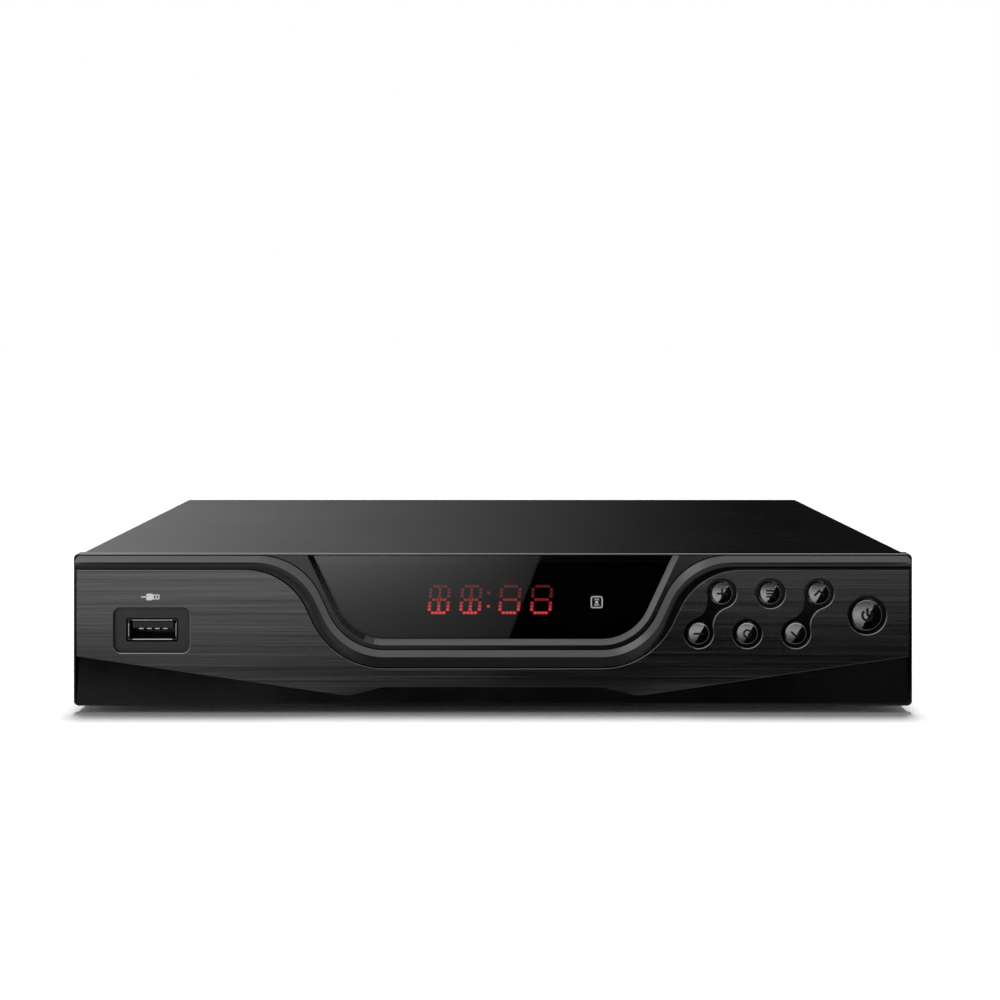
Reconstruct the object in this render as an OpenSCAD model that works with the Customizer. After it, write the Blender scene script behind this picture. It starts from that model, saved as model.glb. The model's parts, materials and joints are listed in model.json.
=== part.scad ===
// Satellite television receiver: a sheet-steel case behind a moulded front panel.
// X runs to the right seen from the front, the front faces -Y and Z is up. The origin lies
// under the middle of the receiver, on the surface that its feet stand on.

/* [Case] */
// Depth from the rim of the front panel to the outer face of the rear wall
case_d = 150; // [140:1:200]
// Thickness of the sheet steel
sheet_t = 0.8; // [0.6:0.1:1]
// Outer radius of the folds in the sheet steel
fold_r = 1.5; // [1.2:0.1:2.5]
// How far the sides of the cover stand in from the ends of the front panel
cover_inset = 0.6; // [0.4:0.1:3]
// How far the top of the cover lies below the top of the front panel
cover_drop = 0.3; // [0.1:0.1:1]
// Height of the underside of the tray above the bottom of the front panel
tray_lift = 0.4; // [0.2:0.1:1]
// Height of the folded side flanges of the tray
tray_flange_h = 9; // [8:0.5:14]
// Gap between parts that are slid together
slide_gap = 0.15; // [0.1:0.05:0.2]
// Clearance between the surface it stands on and the bottom of the front panel
foot_h = 2; // [1.5:0.1:5]
// Radius of a rubber foot
foot_r = 6.5; // [5:0.5:8]

/* [Front panel] */
// Overall width of the front panel
panel_w = 220; // [216:1:260]
// Overall height of the front panel
panel_h = 40; // [39:0.5:46]
// Corner radius of the front panel
panel_r = 1.5; // [1:0.1:2.5]
// Width of the rim round the front panel
rim_w = 0.5; // [0.4:0.05:0.8]
// Length of the full-size lip in front of the cover
lip_len = 2.4; // [2:0.1:3]
// Depth from the rim to the inner face of the moulded front wall
wall_back = 3.8; // [3.6:0.1:4.4]
// Depth from the rim to the front face of the display board
board_d = 12; // [11.5:0.5:16]
// Thickness of the moulded flange inside the case
flange_t = 1.6; // [1.2:0.1:2.4]
// Thickness of the brushed plate
plate_t = 1; // [0.8:0.1:1.1]
// How far the face of the brushed plate lies behind the rim
plate_sink = 0.15; // [0.1:0.05:0.3]
// Gap round the brushed plate and the trim band
trim_gap = 0.12; // [0.08:0.02:0.2]

/* [Chin] */
// Height of the lower edge of the brushed plate at the ends of the panel
chin_end_h = 12.9; // [10:0.1:14]
// Height of the two low points of the brushed plate
chin_low_h = 2.4; // [1.8:0.1:3]
// Height of the lower edge of the brushed plate in the middle
chin_mid_h = 4.7; // [3.6:0.1:6]
// Distance of the low points from the middle
chin_low_x = 37.9; // [34:0.1:42]
// Half length of the level middle stretch
chin_mid_x = 28.8; // [24:0.1:31]
// Radius of the corners along that edge
chin_r = 5; // [1:0.5:6]
// Depth of the chin behind the rim at its upper end
chin_deep = 2.2; // [1.6:0.1:2.4]
// Depth of the chin behind the rim at its foot
chin_shallow = 0.5; // [0.3:0.1:1]

/* [Window and trim band] */
// Height of the lower edge of the window
window_floor = 17.2; // [16:0.1:19]
// Half length of the straight lower edge of the window, as a share of the width of the panel
window_share = 0.1295; // [0.11:0.0005:0.145]
// Radius of the lower corners of the window
window_r = 13.4; // [11:0.1:14]
// Slope of the ends of the window from the horizontal
window_slope = 65; // [60:1:70]
// Width of the sloping wall round the window
bezel_wall = 1.3; // [0.8:0.1:1.8]
// Width of the brushed face between that wall and the trim band
bezel_face = 1.2; // [0.8:0.1:1.8]
// Thickness of the window
lens_t = 1.5; // [1:0.1:1.7]
// How far the window reaches behind the wall round it
lens_lap = 1.2; // [0.6:0.1:1.2]
// Width of the upper face of the trim band
band_light = 1.8; // [1.2:0.1:2.4]
// Width of the lower face of the trim band under the window
band_dark_low = 3; // [2.2:0.1:3.4]
// Width of the lower face of the trim band along the top of the panel
band_dark_high = 1.9; // [1.4:0.1:2.6]
// Radius of the upper bends of the trim band
shoulder_r = 18; // [14:0.5:19]
// How far the ridge of the trim band stands out from the rim
band_rise = 1; // [0.5:0.1:1.6]

/* [Keys] */
// Radius of a small key
key_r = 2.8; // [2.4:0.1:3]
// Radius of the power key
power_key_r = 4; // [3.5:0.1:4.4]
// Width of the sunk ring round a key
key_moat = 1.05; // [0.7:0.05:1.2]
// Gap between a key and its hole
key_gap = 0.3; // [0.2:0.05:0.4]
// Height of the domed face of a key
key_dome = 0.35; // [0.2:0.05:0.6]
// Travel of a key
key_travel = 0.4; // [0.2:0.05:0.5]
// Width of the rim that holds a key behind the panel
key_flange = 0.9; // [0.6:0.1:1]
// Distance between the keys in a row
key_pitch = 12.75; // [12:0.05:13]
// Height between the two rows of keys
key_row = 10.5; // [9.5:0.1:11]
// Sideways shift of the lower row of keys
key_stagger = 6.1; // [5.5:0.1:6.8]
// Width of the neck between paired keys
key_neck = 3; // [2:0.1:4]
// Distance of the last small key from the end of the panel
keys_edge = 24.4; // [23:0.1:25]
// Depth of the upper row of keys below the top of the panel
keys_top = 10.6; // [9.5:0.1:11.5]
// Distance of the power key from the end of the panel
power_edge = 11.8; // [10.5:0.1:12.5]
// Height of the power key above the middle of the panel
power_lift = 3.7; // [-2:0.1:5]

/* [USB socket] */
// Distance of the middle of the USB socket from the end of the panel
usb_edge = 20.4; // [16:0.1:30]
// Height of the middle of the USB socket
usb_h = 19.7; // [18.5:0.1:24]
// Width of the sunk field round the USB socket
usb_field_w = 19.85; // [18:0.05:24]
// Height of the sunk field round the USB socket
usb_field_h = 11.7; // [10:0.1:13]
// Outer width of the USB shell
usb_w = 13.1; // [13:0.05:13.3]
// Outer height of the USB shell
usb_t = 5.6; // [5.5:0.05:5.8]

/* [Display] */
// Height of a digit
digit_h = 7.6; // [6:0.1:8]
// Width of a digit
digit_w = 6; // [4.6:0.1:6.4]
// Distance between the two digits of a pair
digit_pitch = 8.2; // [7.6:0.1:8.6]
// Distance between the inner digits, across the colon
colon_pitch = 10.5; // [9.6:0.1:11]
// Width of a segment
segment_w = 0.8; // [0.5:0.05:1]
// Depth of the middle of the digits below the top of the panel
digits_drop = 12.9; // [11.5:0.1:13.5]
// Sideways place of the middle of the digits
display_x = -0.65; // [-2:0.05:2]
// Distance of the remote control sensor from the middle
sensor_x = 27.3; // [26:0.1:30]

/* [Rear sockets] */
// How far the aerial sockets stand out from the rear wall
aerial_reach = 10.5; // [9:0.5:13]
// Radius of the thread of an aerial socket
aerial_r = 4.76; // [4.76:0.01:4.8]
// Distance between the two aerial sockets
aerial_pitch = 18; // [16:0.5:20]
// Distance of the outer aerial socket from the end of the panel
aerial_edge = 16; // [14:0.5:18]
// Outer radius of an audio or video socket
phono_r = 4.15; // [4.1:0.05:4.2]
// Distance between the audio and video sockets
phono_pitch = 13; // [12.5:0.5:14]
// How far the audio and video sockets stand out from the rear wall
phono_reach = 8; // [7:0.5:9]

/* [Boards] */
// Thickness of the circuit boards
board_t = 1.6; // [1.2:0.1:2]
// Height of the standoffs under the circuit boards
standoff_h = 5.3; // [4:0.1:6]

/* [Hidden] */
$fn = 64;

black = [0.06, 0.06, 0.065];
steel = [0.66, 0.67, 0.69];
nickel = [0.72, 0.72, 0.7];
board_green = [0.06, 0.3, 0.16];

// Depths along Y
rim_y = band_rise - (case_d + aerial_reach + band_rise) / 2;
rear_y = rim_y + case_d;
rear_in_y = rear_y - sheet_t;
plate_back = plate_sink + plate_t;
bezel_back = wall_back - 0.4 - lens_t;
flange_end = board_d;

// Heights above the bottom of the front panel
tray_top = tray_lift + sheet_t;
cover_top = panel_h - cover_drop;
cover_half = panel_w / 2 - cover_inset;
inner_half = cover_half - sheet_t;
mount_z = tray_top + standoff_h;
deck_z = mount_z + board_t;

// Window and trim band: each line has a bend about window_c and a bend at the shoulder
band_top = panel_h - rim_w;
window_top = band_top - 0.4;
window_flat = panel_w * window_share;
window_c = [-window_flat, window_floor + window_r];
wall_r = window_r + bezel_wall;
band_r = wall_r + bezel_face;
ridge_r = band_r + band_light;
foot_line_r = ridge_r + band_dark_low;
bend_steps = 18;

// ---------------------------------------------------------------- shared shapes

// Extrudes a front-view outline from depth y0 back to depth y1
module slab(y0, y1) {
    translate([0, y1, foot_h]) rotate([90, 0, 0]) linear_extrude(y1 - y0) children();
}

// Extrudes an outline drawn as [depth, height] across the width from x0 to x1
module across(x0, x1) {
    translate([x0, 0, foot_h]) rotate([90, 0, 90]) linear_extrude(x1 - x0) children();
}

// Lays out a shape so that its +Z points backwards along +Y
module turned(at, y) {
    translate([at[0], y, foot_h + at[1]]) rotate([-90, 0, 0]) children();
}

// Stands a shape on a height above the bottom of the front panel
module standing(x, y, z) {
    translate([x, y, foot_h + z]) children();
}

module rounded_rect(w, h, r) {
    for (x = [-w / 2 + r, w / 2 - r], y = [-h / 2 + r, h / 2 - r]) translate([x, y]) circle(r);
    square([w - 2 * r, h], center = true);
    square([w, h - 2 * r], center = true);
}

module block(w, d, h) {
    translate([-w / 2, -d / 2, 0]) cube([w, d, h]);
}

function arc(c, r, a0, a1, n) = [for (i = [0:n]) c + r * [cos(a0 + (a1 - a0) * i / n),
    sin(a0 + (a1 - a0) * i / n)]];
function mirrored(points) = [for (i = [len(points) - 1:-1:0]) [-points[i][0], points[i][1]]];
function inner(points) = [for (i = [1:len(points) - 2]) points[i]];
function unit(v) = v / norm(v);

// Corner b of the path a-b-c, rounded to radius r
function fillet(a, b, c, r, n = 6) = let (
    u = unit(a - b), v = unit(c - b), half = acos(u * v) / 2,
    centre = b + unit(u + v) * r / sin(half),
    p = b + u * r / tan(half) - centre, q = b + v * r / tan(half) - centre,
    start = atan2(p[1], p[0]), turn = atan2(p[0] * q[1] - p[1] * q[0], p * q))
    arc(centre, r, start, start + turn, n);

// Tube of radius r along a route, drawn as one closed surface
module lead(route, r, sides = 8) {
    last = len(route) - 1;
    function way(i) = unit(route[min(i + 1, last)] - route[max(i - 1, 0)]);
    function side(i) = unit(cross(way(i), [0, 0.02, 1]));
    rings = [for (i = [0:last], k = [0:sides - 1]) let (a = 360 * k / sides)
        route[i] + r * (cos(a) * side(i) + sin(a) * cross(side(i), way(i)))];
    walls = [for (i = [0:last - 1], k = [0:sides - 1]) let (n = (k + 1) % sides, b = i * sides)
        [b + k, b + n, b + sides + n, b + sides + k]];
    ends = [[for (k = [sides - 1:-1:0]) k], [for (k = [0:sides - 1]) last * sides + k]];
    polyhedron(rings, concat(walls, ends), convexity = 4);
}

// ---------------------------------------------------------------- lines of the front panel

// Left half of a line that runs along the top at height top, bends down over the shoulder and
// sweeps under the window at radius r about the corner centre of the window
function swept_half(r, top) = let (
    across_line = [sin(window_slope), cos(window_slope)],
    offset = across_line * window_c - r - shoulder_r,
    shoulder_z = top - shoulder_r,
    shoulder_x = (offset - across_line[1] * shoulder_z) / across_line[0])
    concat([[rim_w - panel_w / 2, top]],
        arc([shoulder_x, shoulder_z], shoulder_r, 90, 90 - window_slope, bend_steps),
        arc(window_c, r, 270 - window_slope, 270, bend_steps));
function swept_line(r, top) = concat(swept_half(r, top), mirrored(swept_half(r, top)));

// Left half of the window outline at radius r, up to height top
function window_half(r, top) = let (
    across_line = [sin(window_slope), cos(window_slope)],
    offset = across_line * window_c - r)
    concat([[(offset - across_line[1] * top) / across_line[0], top]],
        arc(window_c, r, 270 - window_slope, 270, bend_steps));
function window_outline(r, top) = concat(window_half(r, top), mirrored(window_half(r, top)));

function chin_half() = let (
    end = [-panel_w / 2, chin_end_h], low = [-chin_low_x, chin_low_h],
    mid = [-chin_mid_x, chin_mid_h])
    concat([end], fillet(end, low, mid, chin_r), fillet(low, mid, [0, chin_mid_h], chin_r));

module panel_outline(inset = 0) {
    translate([0, panel_h / 2])
        rounded_rect(panel_w - 2 * inset, panel_h - 2 * inset, panel_r - inset * 0.6);
}

// Field above the chin, inside the rim
module field_outline(inset = 0) {
    intersection() {
        panel_outline(rim_w + inset);
        polygon(concat(chin_half(), mirrored(chin_half()),
            [[panel_w / 2, panel_h], [-panel_w / 2, panel_h]]));
    }
}

// Field inside the trim band, shortened where it runs out to a knife edge
module bezel_outline(gap) {
    shoulder_x = swept_half(band_r, band_top)[1][0];
    intersection() {
        polygon(swept_line(band_r - gap, band_top));
        panel_outline(rim_w + gap);
        translate([0, panel_h / 2])
            square([-2 * shoulder_x - 8 - 2 * gap, panel_h], center = true);
    }
}

// Everything above the lower line of the trim band
module above_band(gap) {
    line = swept_line(foot_line_r + gap, band_top - band_light - band_dark_high - gap);
    polygon(concat([[-panel_w / 2, line[0][1]]], line, [[panel_w / 2, line[0][1]],
        [panel_w / 2, panel_h], [-panel_w / 2, panel_h]]));
}

// ---------------------------------------------------------------- keys

keys = [
    ["plus", 0, 0], ["menu", 1, 0], ["up", 2, 0],
    ["minus", 0, 1], ["ok", 1, 1], ["down", 2, 1]];
power_at = [panel_w / 2 - power_edge, panel_h / 2 + power_lift];
function key_place(col, row) = [
    panel_w / 2 - keys_edge - (2 - col) * key_pitch - row * key_stagger,
    panel_h - keys_top - row * key_row];
function key_at(name) = name == "power" ? power_at
    : [for (k = keys) if (k[0] == name) key_place(k[1], k[2])][0];
function key_radius(name) = name == "power" ? power_key_r : key_r;
key_names = concat([for (k = keys) k[0]], ["power"]);

key_face = -0.1;
key_rim_t = 0.8;
key_rim_d = wall_back + key_gap;
switch_side = 6;
switch_t = 3.5;
actuator_r = 1.7;
actuator_gap = 0.1;
actuator_in = 0.4;
switch_face = board_d - switch_t;

// Outline of two round recesses of radius r joined by a neck with hollow sides, each hollow
// an arc that runs smoothly into both rounds
function paired_outline(a, b, r) = let (
    reach = norm(b - a) / 2,
    hollow_r = (reach * reach + pow(key_neck / 2, 2) - r * r) / (2 * r - key_neck),
    base = atan2(b[1] - a[1], b[0] - a[0]),
    waist = (hollow_r + key_neck / 2) * [-sin(base), cos(base)],
    lean = atan2(hollow_r + key_neck / 2, reach))
    concat(arc(a, r, base + lean, base + 360 - lean, 24),
        inner(arc((a + b) / 2 - waist, hollow_r, base + 180 - lean, base + lean, 12)),
        arc(b, r, base - 180 + lean, base + 180 - lean, 24),
        inner(arc((a + b) / 2 + waist, hollow_r, base - lean, base - 180 + lean, 12)));

module key_recesses() {
    recess_r = key_r + key_moat;
    polygon(paired_outline(key_at("plus"), key_at("minus"), recess_r));
    polygon(paired_outline(key_at("up"), key_at("down"), recess_r));
    translate(key_at("menu")) circle(recess_r);
    translate(key_at("ok")) circle(recess_r);
    translate(key_at("power")) circle(power_key_r + key_moat);
}

// Domed cap, the rim that holds it in the panel and the stem that presses its switch
module key(name) {
    r = key_radius(name);
    dome_r = (r * r + key_dome * key_dome) / (2 * key_dome);
    color([0.2, 0.2, 0.21]) turned(key_at(name), rim_y) {
        translate([0, 0, key_face]) intersection() {
            cylinder(r = r, h = key_rim_d - key_face + 0.2);
            translate([0, 0, dome_r]) sphere(r = dome_r, $fn = 128);
        }
        translate([0, 0, key_rim_d]) cylinder(r = r + key_flange, h = key_rim_t);
        translate([0, 0, key_rim_d])
            cylinder(r = actuator_r, h = switch_face + actuator_in - key_rim_d);
    }
}

// ---------------------------------------------------------------- front panel pieces

lens_gap = 0.15;
// Keeps the roof of the pocket for the bezel clear of the roof of the field
pocket_inset = 0.01;
ceiling = cover_top - sheet_t - slide_gap - flange_t;
usb_at = [usb_edge - panel_w / 2, usb_h];
usb_gap = 0.3;
usb_sheet = 0.35;
usb_face = plate_back + 0.25;
digits_z = panel_h - digits_drop;
sensor_at = [sensor_x, digits_z];
boss_r = 2.6;
screw_r = 1.1;
low_head = cover_inset * 0.9;
pilot_gap = 0.1;
boss_spots = [[-panel_w / 2 + 8, panel_h - 8], [-60, 8.6], [60, 8.6],
    [panel_w / 2 - 10, panel_h - 6.4]];

module usb_outline(extra) {
    translate(usb_at) rounded_rect(usb_w + 2 * extra, usb_t + 2 * extra, 0.4 + max(extra, 0));
}

module flange_outline(inset) {
    bottom = tray_top + slide_gap + inset;
    top = cover_top - sheet_t - slide_gap - inset;
    half = inner_half - slide_gap - inset;
    translate([0, (bottom + top) / 2]) rounded_rect(2 * half, top - bottom, 1.2);
}

// Wedge that slopes the chin back under the brushed plate
module chin_wedge() {
    slope = (chin_deep - chin_shallow) / (chin_end_h - rim_w);
    high = panel_h / 2;
    across(-panel_w / 2, panel_w / 2) polygon([
        [rim_y - 1, rim_w - 1], [rim_y + chin_shallow - slope, rim_w - 1],
        [rim_y + chin_shallow + slope * (high - rim_w), high], [rim_y - 1, high]]);
}

module fascia_body() {
    color(black) difference() {
        union() {
            slab(rim_y, rim_y + lip_len) panel_outline();
            slab(rim_y + lip_len - 0.5, rim_y + flange_end) flange_outline(0);
        }
        difference() {
            slab(rim_y + wall_back, rim_y + flange_end + 1) flange_outline(flange_t);
            for (at = boss_spots) turned(at, rim_y) cylinder(r = boss_r, h = board_d);
        }
        slab(rim_y - 1, rim_y + plate_back) field_outline();
        slab(rim_y - 1, rim_y + bezel_back) bezel_outline(pocket_inset);
        slab(rim_y - 1, rim_y + lip_len) polygon(window_outline(
            window_r + lens_lap + lens_gap, window_top + lens_gap));
        slab(rim_y, rim_y + wall_back + 1) polygon(window_outline(
            window_r + lens_lap + lens_gap, ceiling));
        intersection() {
            chin_wedge();
            slab(rim_y - 1, rim_y + wall_back) difference() {
                panel_outline(rim_w);
                field_outline();
            }
        }
        for (name = key_names) turned(key_at(name), rim_y)
            cylinder(r = key_radius(name) + key_gap, h = wall_back + 1);
        slab(rim_y, rim_y + wall_back + 1) usb_outline(usb_gap);
        for (at = boss_spots) turned(at, rim_y + wall_back + 1)
            cylinder(r = screw_r + pilot_gap, h = board_d);
    }
}

module brushed_plate() {
    color([0.22, 0.22, 0.23]) slab(rim_y + plate_sink, rim_y + plate_back) difference() {
        field_outline(0.05);
        above_band(trim_gap);
        key_recesses();
        translate(usb_at) rounded_rect(usb_field_w, usb_field_h, 1.8);
    }
}

// Cutter for the window, which narrows from the face of the bezel to the window
module window_cutter() {
    front = window_outline(wall_r, panel_h);
    back = window_outline(window_r, panel_h);
    n = len(front);
    function ring(outline, d) = [for (p = outline) [p[0], rim_y + d, foot_h + p[1]]];
    rings = concat(ring(front, -1), ring(front, plate_sink), ring(back, bezel_back),
        ring(back, wall_back));
    walls = [for (s = [0:2], i = [0:n - 1]) let (j = (i + 1) % n)
        [s * n + i, s * n + j, (s + 1) * n + j, (s + 1) * n + i]];
    polyhedron(rings, concat(walls, [[for (i = [n - 1:-1:0]) i]],
        [[for (i = [0:n - 1]) 3 * n + i]]), convexity = 4);
}

module window_bezel() {
    color([0.24, 0.24, 0.25]) difference() {
        slab(rim_y + plate_sink, rim_y + bezel_back) bezel_outline(trim_gap / 2);
        window_cutter();
    }
}

// Strip of changing width: a light face rises to the ridge and a hollow face falls away below it
module trim_band() {
    heel = band_light + band_dark_high;
    function along(t) = t < 0 ? swept_line(band_r + trim_gap, band_top - trim_gap)
        : swept_line(ridge_r + t * (band_dark_low - trim_gap),
            band_top - band_light - t * (band_dark_high - trim_gap));
    low = plate_sink;
    hollow = [0.12, 0.35, 0.65];
    lines = concat(
        [along(-1), along(-1), along(0)],
        [for (t = hollow) along(t)], [along(1), along(1)]);
    depths = concat([plate_back, low, -band_rise],
        [for (t = hollow) low - (band_rise + low) * pow(1 - t, 2)], [low, plate_back]);
    k = len(lines);
    n = len(lines[0]);
    points = [for (i = [0:n - 1], j = [0:k - 1])
        [lines[j][i][0], rim_y + depths[j], foot_h + lines[j][i][1]]];
    walls = [for (i = [0:n - 2], j = [0:k - 1]) let (m = (j + 1) % k)
        [i * k + j, (i + 1) * k + j, (i + 1) * k + m, i * k + m]];
    color([0.28, 0.28, 0.29]) intersection() {
        polyhedron(points, concat(walls, [[for (j = [0:k - 1]) j]],
            [[for (j = [k - 1:-1:0]) (n - 1) * k + j]]), convexity = 6);
        slab(rim_y - band_rise - 1, rim_y + plate_back) panel_outline(rim_w + trim_gap);
    }
}

// The upper edge of the window is stepped, to pass under the roof of the moulded body
module display_window() {
    color([0.03, 0.03, 0.035, 0.6]) {
        slab(rim_y + bezel_back, rim_y + lip_len - lens_gap)
            polygon(window_outline(window_r + lens_lap, window_top));
        slab(rim_y + bezel_back, rim_y + bezel_back + lens_t)
            polygon(window_outline(window_r + lens_lap, ceiling - lens_gap));
    }
}

module usb_shell() {
    color(steel) slab(rim_y + usb_face, rim_y + board_d) difference() {
        usb_outline(0);
        usb_outline(-usb_sheet);
    }
    color(steel) slab(rim_y + board_d - 1, rim_y + board_d) usb_outline(-usb_sheet / 2);
}

usb_tongue_z = 0.3;
module usb_tongue() {
    color([0.08, 0.08, 0.08]) slab(rim_y + usb_face + 0.8, rim_y + board_d - 1)
        translate(usb_at + [-5.4, usb_tongue_z]) square([10.8, 1.8]);
}

module usb_contacts() {
    color([0.85, 0.7, 0.35]) for (i = [-1.5:1.5]) slab(rim_y + usb_face + 1, rim_y + board_d - 1)
        translate(usb_at + [i * 2.15 - 0.55, usb_tongue_z - 0.25]) square([1.1, 0.25]);
}

module pcb_outline(x0, z0, x1, z1) {
    translate([x0, z0]) square([x1 - x0, z1 - z0]);
}

module front_board() {
    color(board_green) slab(rim_y + board_d, rim_y + board_d + board_t) difference() {
        pcb_outline(5 - panel_w / 2, 4.6, panel_w / 2 - 5, panel_h - 3.6);
        for (at = boss_spots) translate(at) circle(screw_r + 0.2);
    }
}

module pan_screw(length) {
    intersection() {
        cylinder(r = screw_r * 1.9, h = 1.4);
        translate([0, 0, -2.6]) sphere(r = 4);
    }
    translate([0, 0, -length]) cylinder(r = screw_r, h = length + 0.2);
}

module front_board_screws() {
    color(nickel) for (at = boss_spots) turned(at, rim_y + board_d + board_t) pan_screw(6);
}

display_w = digit_pitch * 2 + colon_pitch + digit_w + 3.4;
display_face = wall_back + 1.1;
module led_display() {
    color([0.12, 0.12, 0.13]) slab(rim_y + display_face, rim_y + board_d)
        translate([display_x, digits_z]) square([display_w, digit_h + 5.2], center = true);
}

digit_centres = [-digit_pitch - colon_pitch / 2, -colon_pitch / 2, colon_pitch / 2,
    colon_pitch / 2 + digit_pitch];

// One digit: three level bars, four upright bars and, on the first pair, two in the middle
module digit(split) {
    bar = digit_w - 2 * segment_w - 0.3;
    post = digit_h / 2 - segment_w * 1.5 - 0.15;
    for (z = [-1:1]) translate([0, z * (digit_h - segment_w) / 2])
        square([bar, segment_w], center = true);
    for (x = [-1, 1], z = [-1, 1])
        translate([x * (digit_w - segment_w) / 2, z * (post + segment_w + 0.3) / 2])
            square([segment_w, post], center = true);
    if (split) for (z = [-1, 1]) translate([0, z * (post + segment_w + 0.3) / 2])
        square([segment_w, post - 0.3], center = true);
}

module led_segments() {
    color([0.9, 0.08, 0.05]) slab(rim_y + display_face - 0.3, rim_y + display_face) {
        for (i = [0:3]) translate([display_x + digit_centres[i], digits_z]) digit(i < 2);
        for (z = [-1, 1]) translate([display_x, digits_z + z * digit_h / 4])
            square(segment_w, center = true);
    }
}

module ir_receiver() {
    color([0.1, 0.08, 0.1]) {
        slab(rim_y + display_face + 2.4, rim_y + board_d) translate(sensor_at - [3, 3.4])
            square([6, 6.8]);
        turned(sensor_at, rim_y + display_face + 2.4) difference() {
            sphere(r = 2);
            cylinder(r = 3, h = 3);
        }
    }
}

module tact_switches() {
    color([0.16, 0.16, 0.17]) for (name = key_names) difference() {
        slab(rim_y + switch_face, rim_y + board_d) translate(key_at(name))
            square(switch_side, center = true);
        turned(key_at(name), rim_y + switch_face - 1)
            cylinder(r = actuator_r + actuator_gap, h = actuator_in + key_travel + 1.5);
    }
}

// ---------------------------------------------------------------- case

vent_w = 2.2;
vent_pitch = 5;
side_vents = floor((case_d - 60) / vent_pitch);
tray_vents = 9;
fastener_y = [rim_y + flange_end + 14, rear_y - 12];
fastener_z = tray_top + tray_flange_h / 2;
feet_at = [for (x = [-1, 1], y = [rim_y + 20, rear_y - 16]) [x * (panel_w / 2 - 18), y]];

aerial_z = deck_z + 9;
aerial_at = [for (i = [0, 1])
    [panel_w / 2 - aerial_edge - i * aerial_pitch, aerial_z]];
phono_z = deck_z + 7;
ethernet_at = [panel_w / 2 - aerial_edge - aerial_pitch - 23, deck_z + 7];
hdmi_at = [ethernet_at[0] - 19, deck_z + 3.2];
phono_x = [for (i = [0:3]) hdmi_at[0] - 17 - (3 - i) * phono_pitch];
ethernet_w = 16;
ethernet_h = 13.6;
ethernet_in = [11.9, 7];
inlet_at = [22 - panel_w / 2, 18];
switch_at = [48 - panel_w / 2, 20];
inlet_w = 17;
inlet_h = 8.8;
inlet_bezel = 2;
switch_w = 13;
switch_h = 19.2;
switch_deep = 14;
inlet_deep = 20;

module aerial_hole() circle(aerial_r + 0.3);
module inlet_outline(extra) {
    h = inlet_h + 2 * extra;
    for (x = [-1, 1]) translate([x * (inlet_w - inlet_h) / 2, 0]) circle(h / 2);
    square([inlet_w - inlet_h, h], center = true);
}

module rear_cutouts() {
    for (at = aerial_at) translate(at) aerial_hole();
    for (x = phono_x) translate([x, phono_z]) circle(phono_r + 1.1);
    translate(hdmi_at) rounded_rect(15.6, 6.2, 0.6);
    translate(ethernet_at) square([ethernet_w + 0.4, ethernet_h + 0.4], center = true);
    translate(inlet_at) inlet_outline(0.2);
    translate(switch_at) rounded_rect(switch_w + 0.3, switch_h + 0.3, 0.6);
    for (i = [0:5]) translate([phono_x[2] + i * vent_pitch, cover_top - 9]) slot(8);
}

module slot(length) {
    for (z = [-1, 1]) translate([0, z * (length - vent_w) / 2]) circle(vent_w / 2);
    square([vent_w, length - vent_w], center = true);
}

// Folded pan: floor and rear wall from one profile, low side flanges from another
module chassis_tray() {
    front = rim_y + lip_len + 0.1;
    wall_top = cover_top - sheet_t - slide_gap;
    half = inner_half - slide_gap;
    color(steel) difference() {
        union() {
            intersection() {
                across(-half, half) difference() {
                    folded(front, rear_y, tray_lift, wall_top, fold_r);
                    folded(front - 1, rear_in_y, tray_top, wall_top + 1, fold_r - sheet_t);
                }
                slab(front - 1, rear_y + 1) cover_section(half, wall_top, fold_r);
            }
            difference() {
                slab(rim_y + flange_end + 0.4, rear_y - sheet_t / 2) difference() {
                    pan_section(half, tray_lift, fold_r);
                    pan_section(half - sheet_t, tray_top, fold_r - sheet_t);
                    translate([-panel_w, tray_top + tray_flange_h]) square([2 * panel_w, panel_h]);
                }
                across(-panel_w, panel_w) difference() {
                    translate([rear_y - fold_r, 0]) square([fold_r + 1, fold_r + tray_lift]);
                    translate([rear_y - fold_r, fold_r + tray_lift]) circle(fold_r);
                }
            }
        }
        slab(rear_in_y - 1, rear_y + 1) rear_cutouts();
        for (x = [-70, 0, 70], i = [0:tray_vents - 1], row = [0, 1])
            standing(x + (i - (tray_vents - 1) / 2) * vent_pitch,
                rim_y + case_d * (0.4 + 0.26 * row), tray_lift - 1)
                    linear_extrude(sheet_t + 2) slot(20);
        for (side = [-1, 1], y = fastener_y) translate([side * half, y, foot_h + fastener_z])
            rotate([0, 90, 0]) cylinder(r = screw_r + pilot_gap, h = 4, center = true);
    }
}

// Rear corner of a fold, drawn as [depth, height]
module folded(y0, y1, z0, z1, r) {
    translate([y0, z0 + r]) square([y1 - y0, z1 - z0 - r]);
    translate([y0, z0]) square([y1 - y0 - r, r]);
    translate([y1 - r, z0 + r]) circle(r);
}

// Section of a pan of half width half whose floor lies at z
module pan_section(half, z, r) {
    translate([-half, z + r]) square([2 * half, panel_h]);
    translate([-half + r, z]) square([2 * (half - r), r + 1]);
    for (x = [r - half, half - r]) translate([x, z + r]) circle(r);
}

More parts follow.
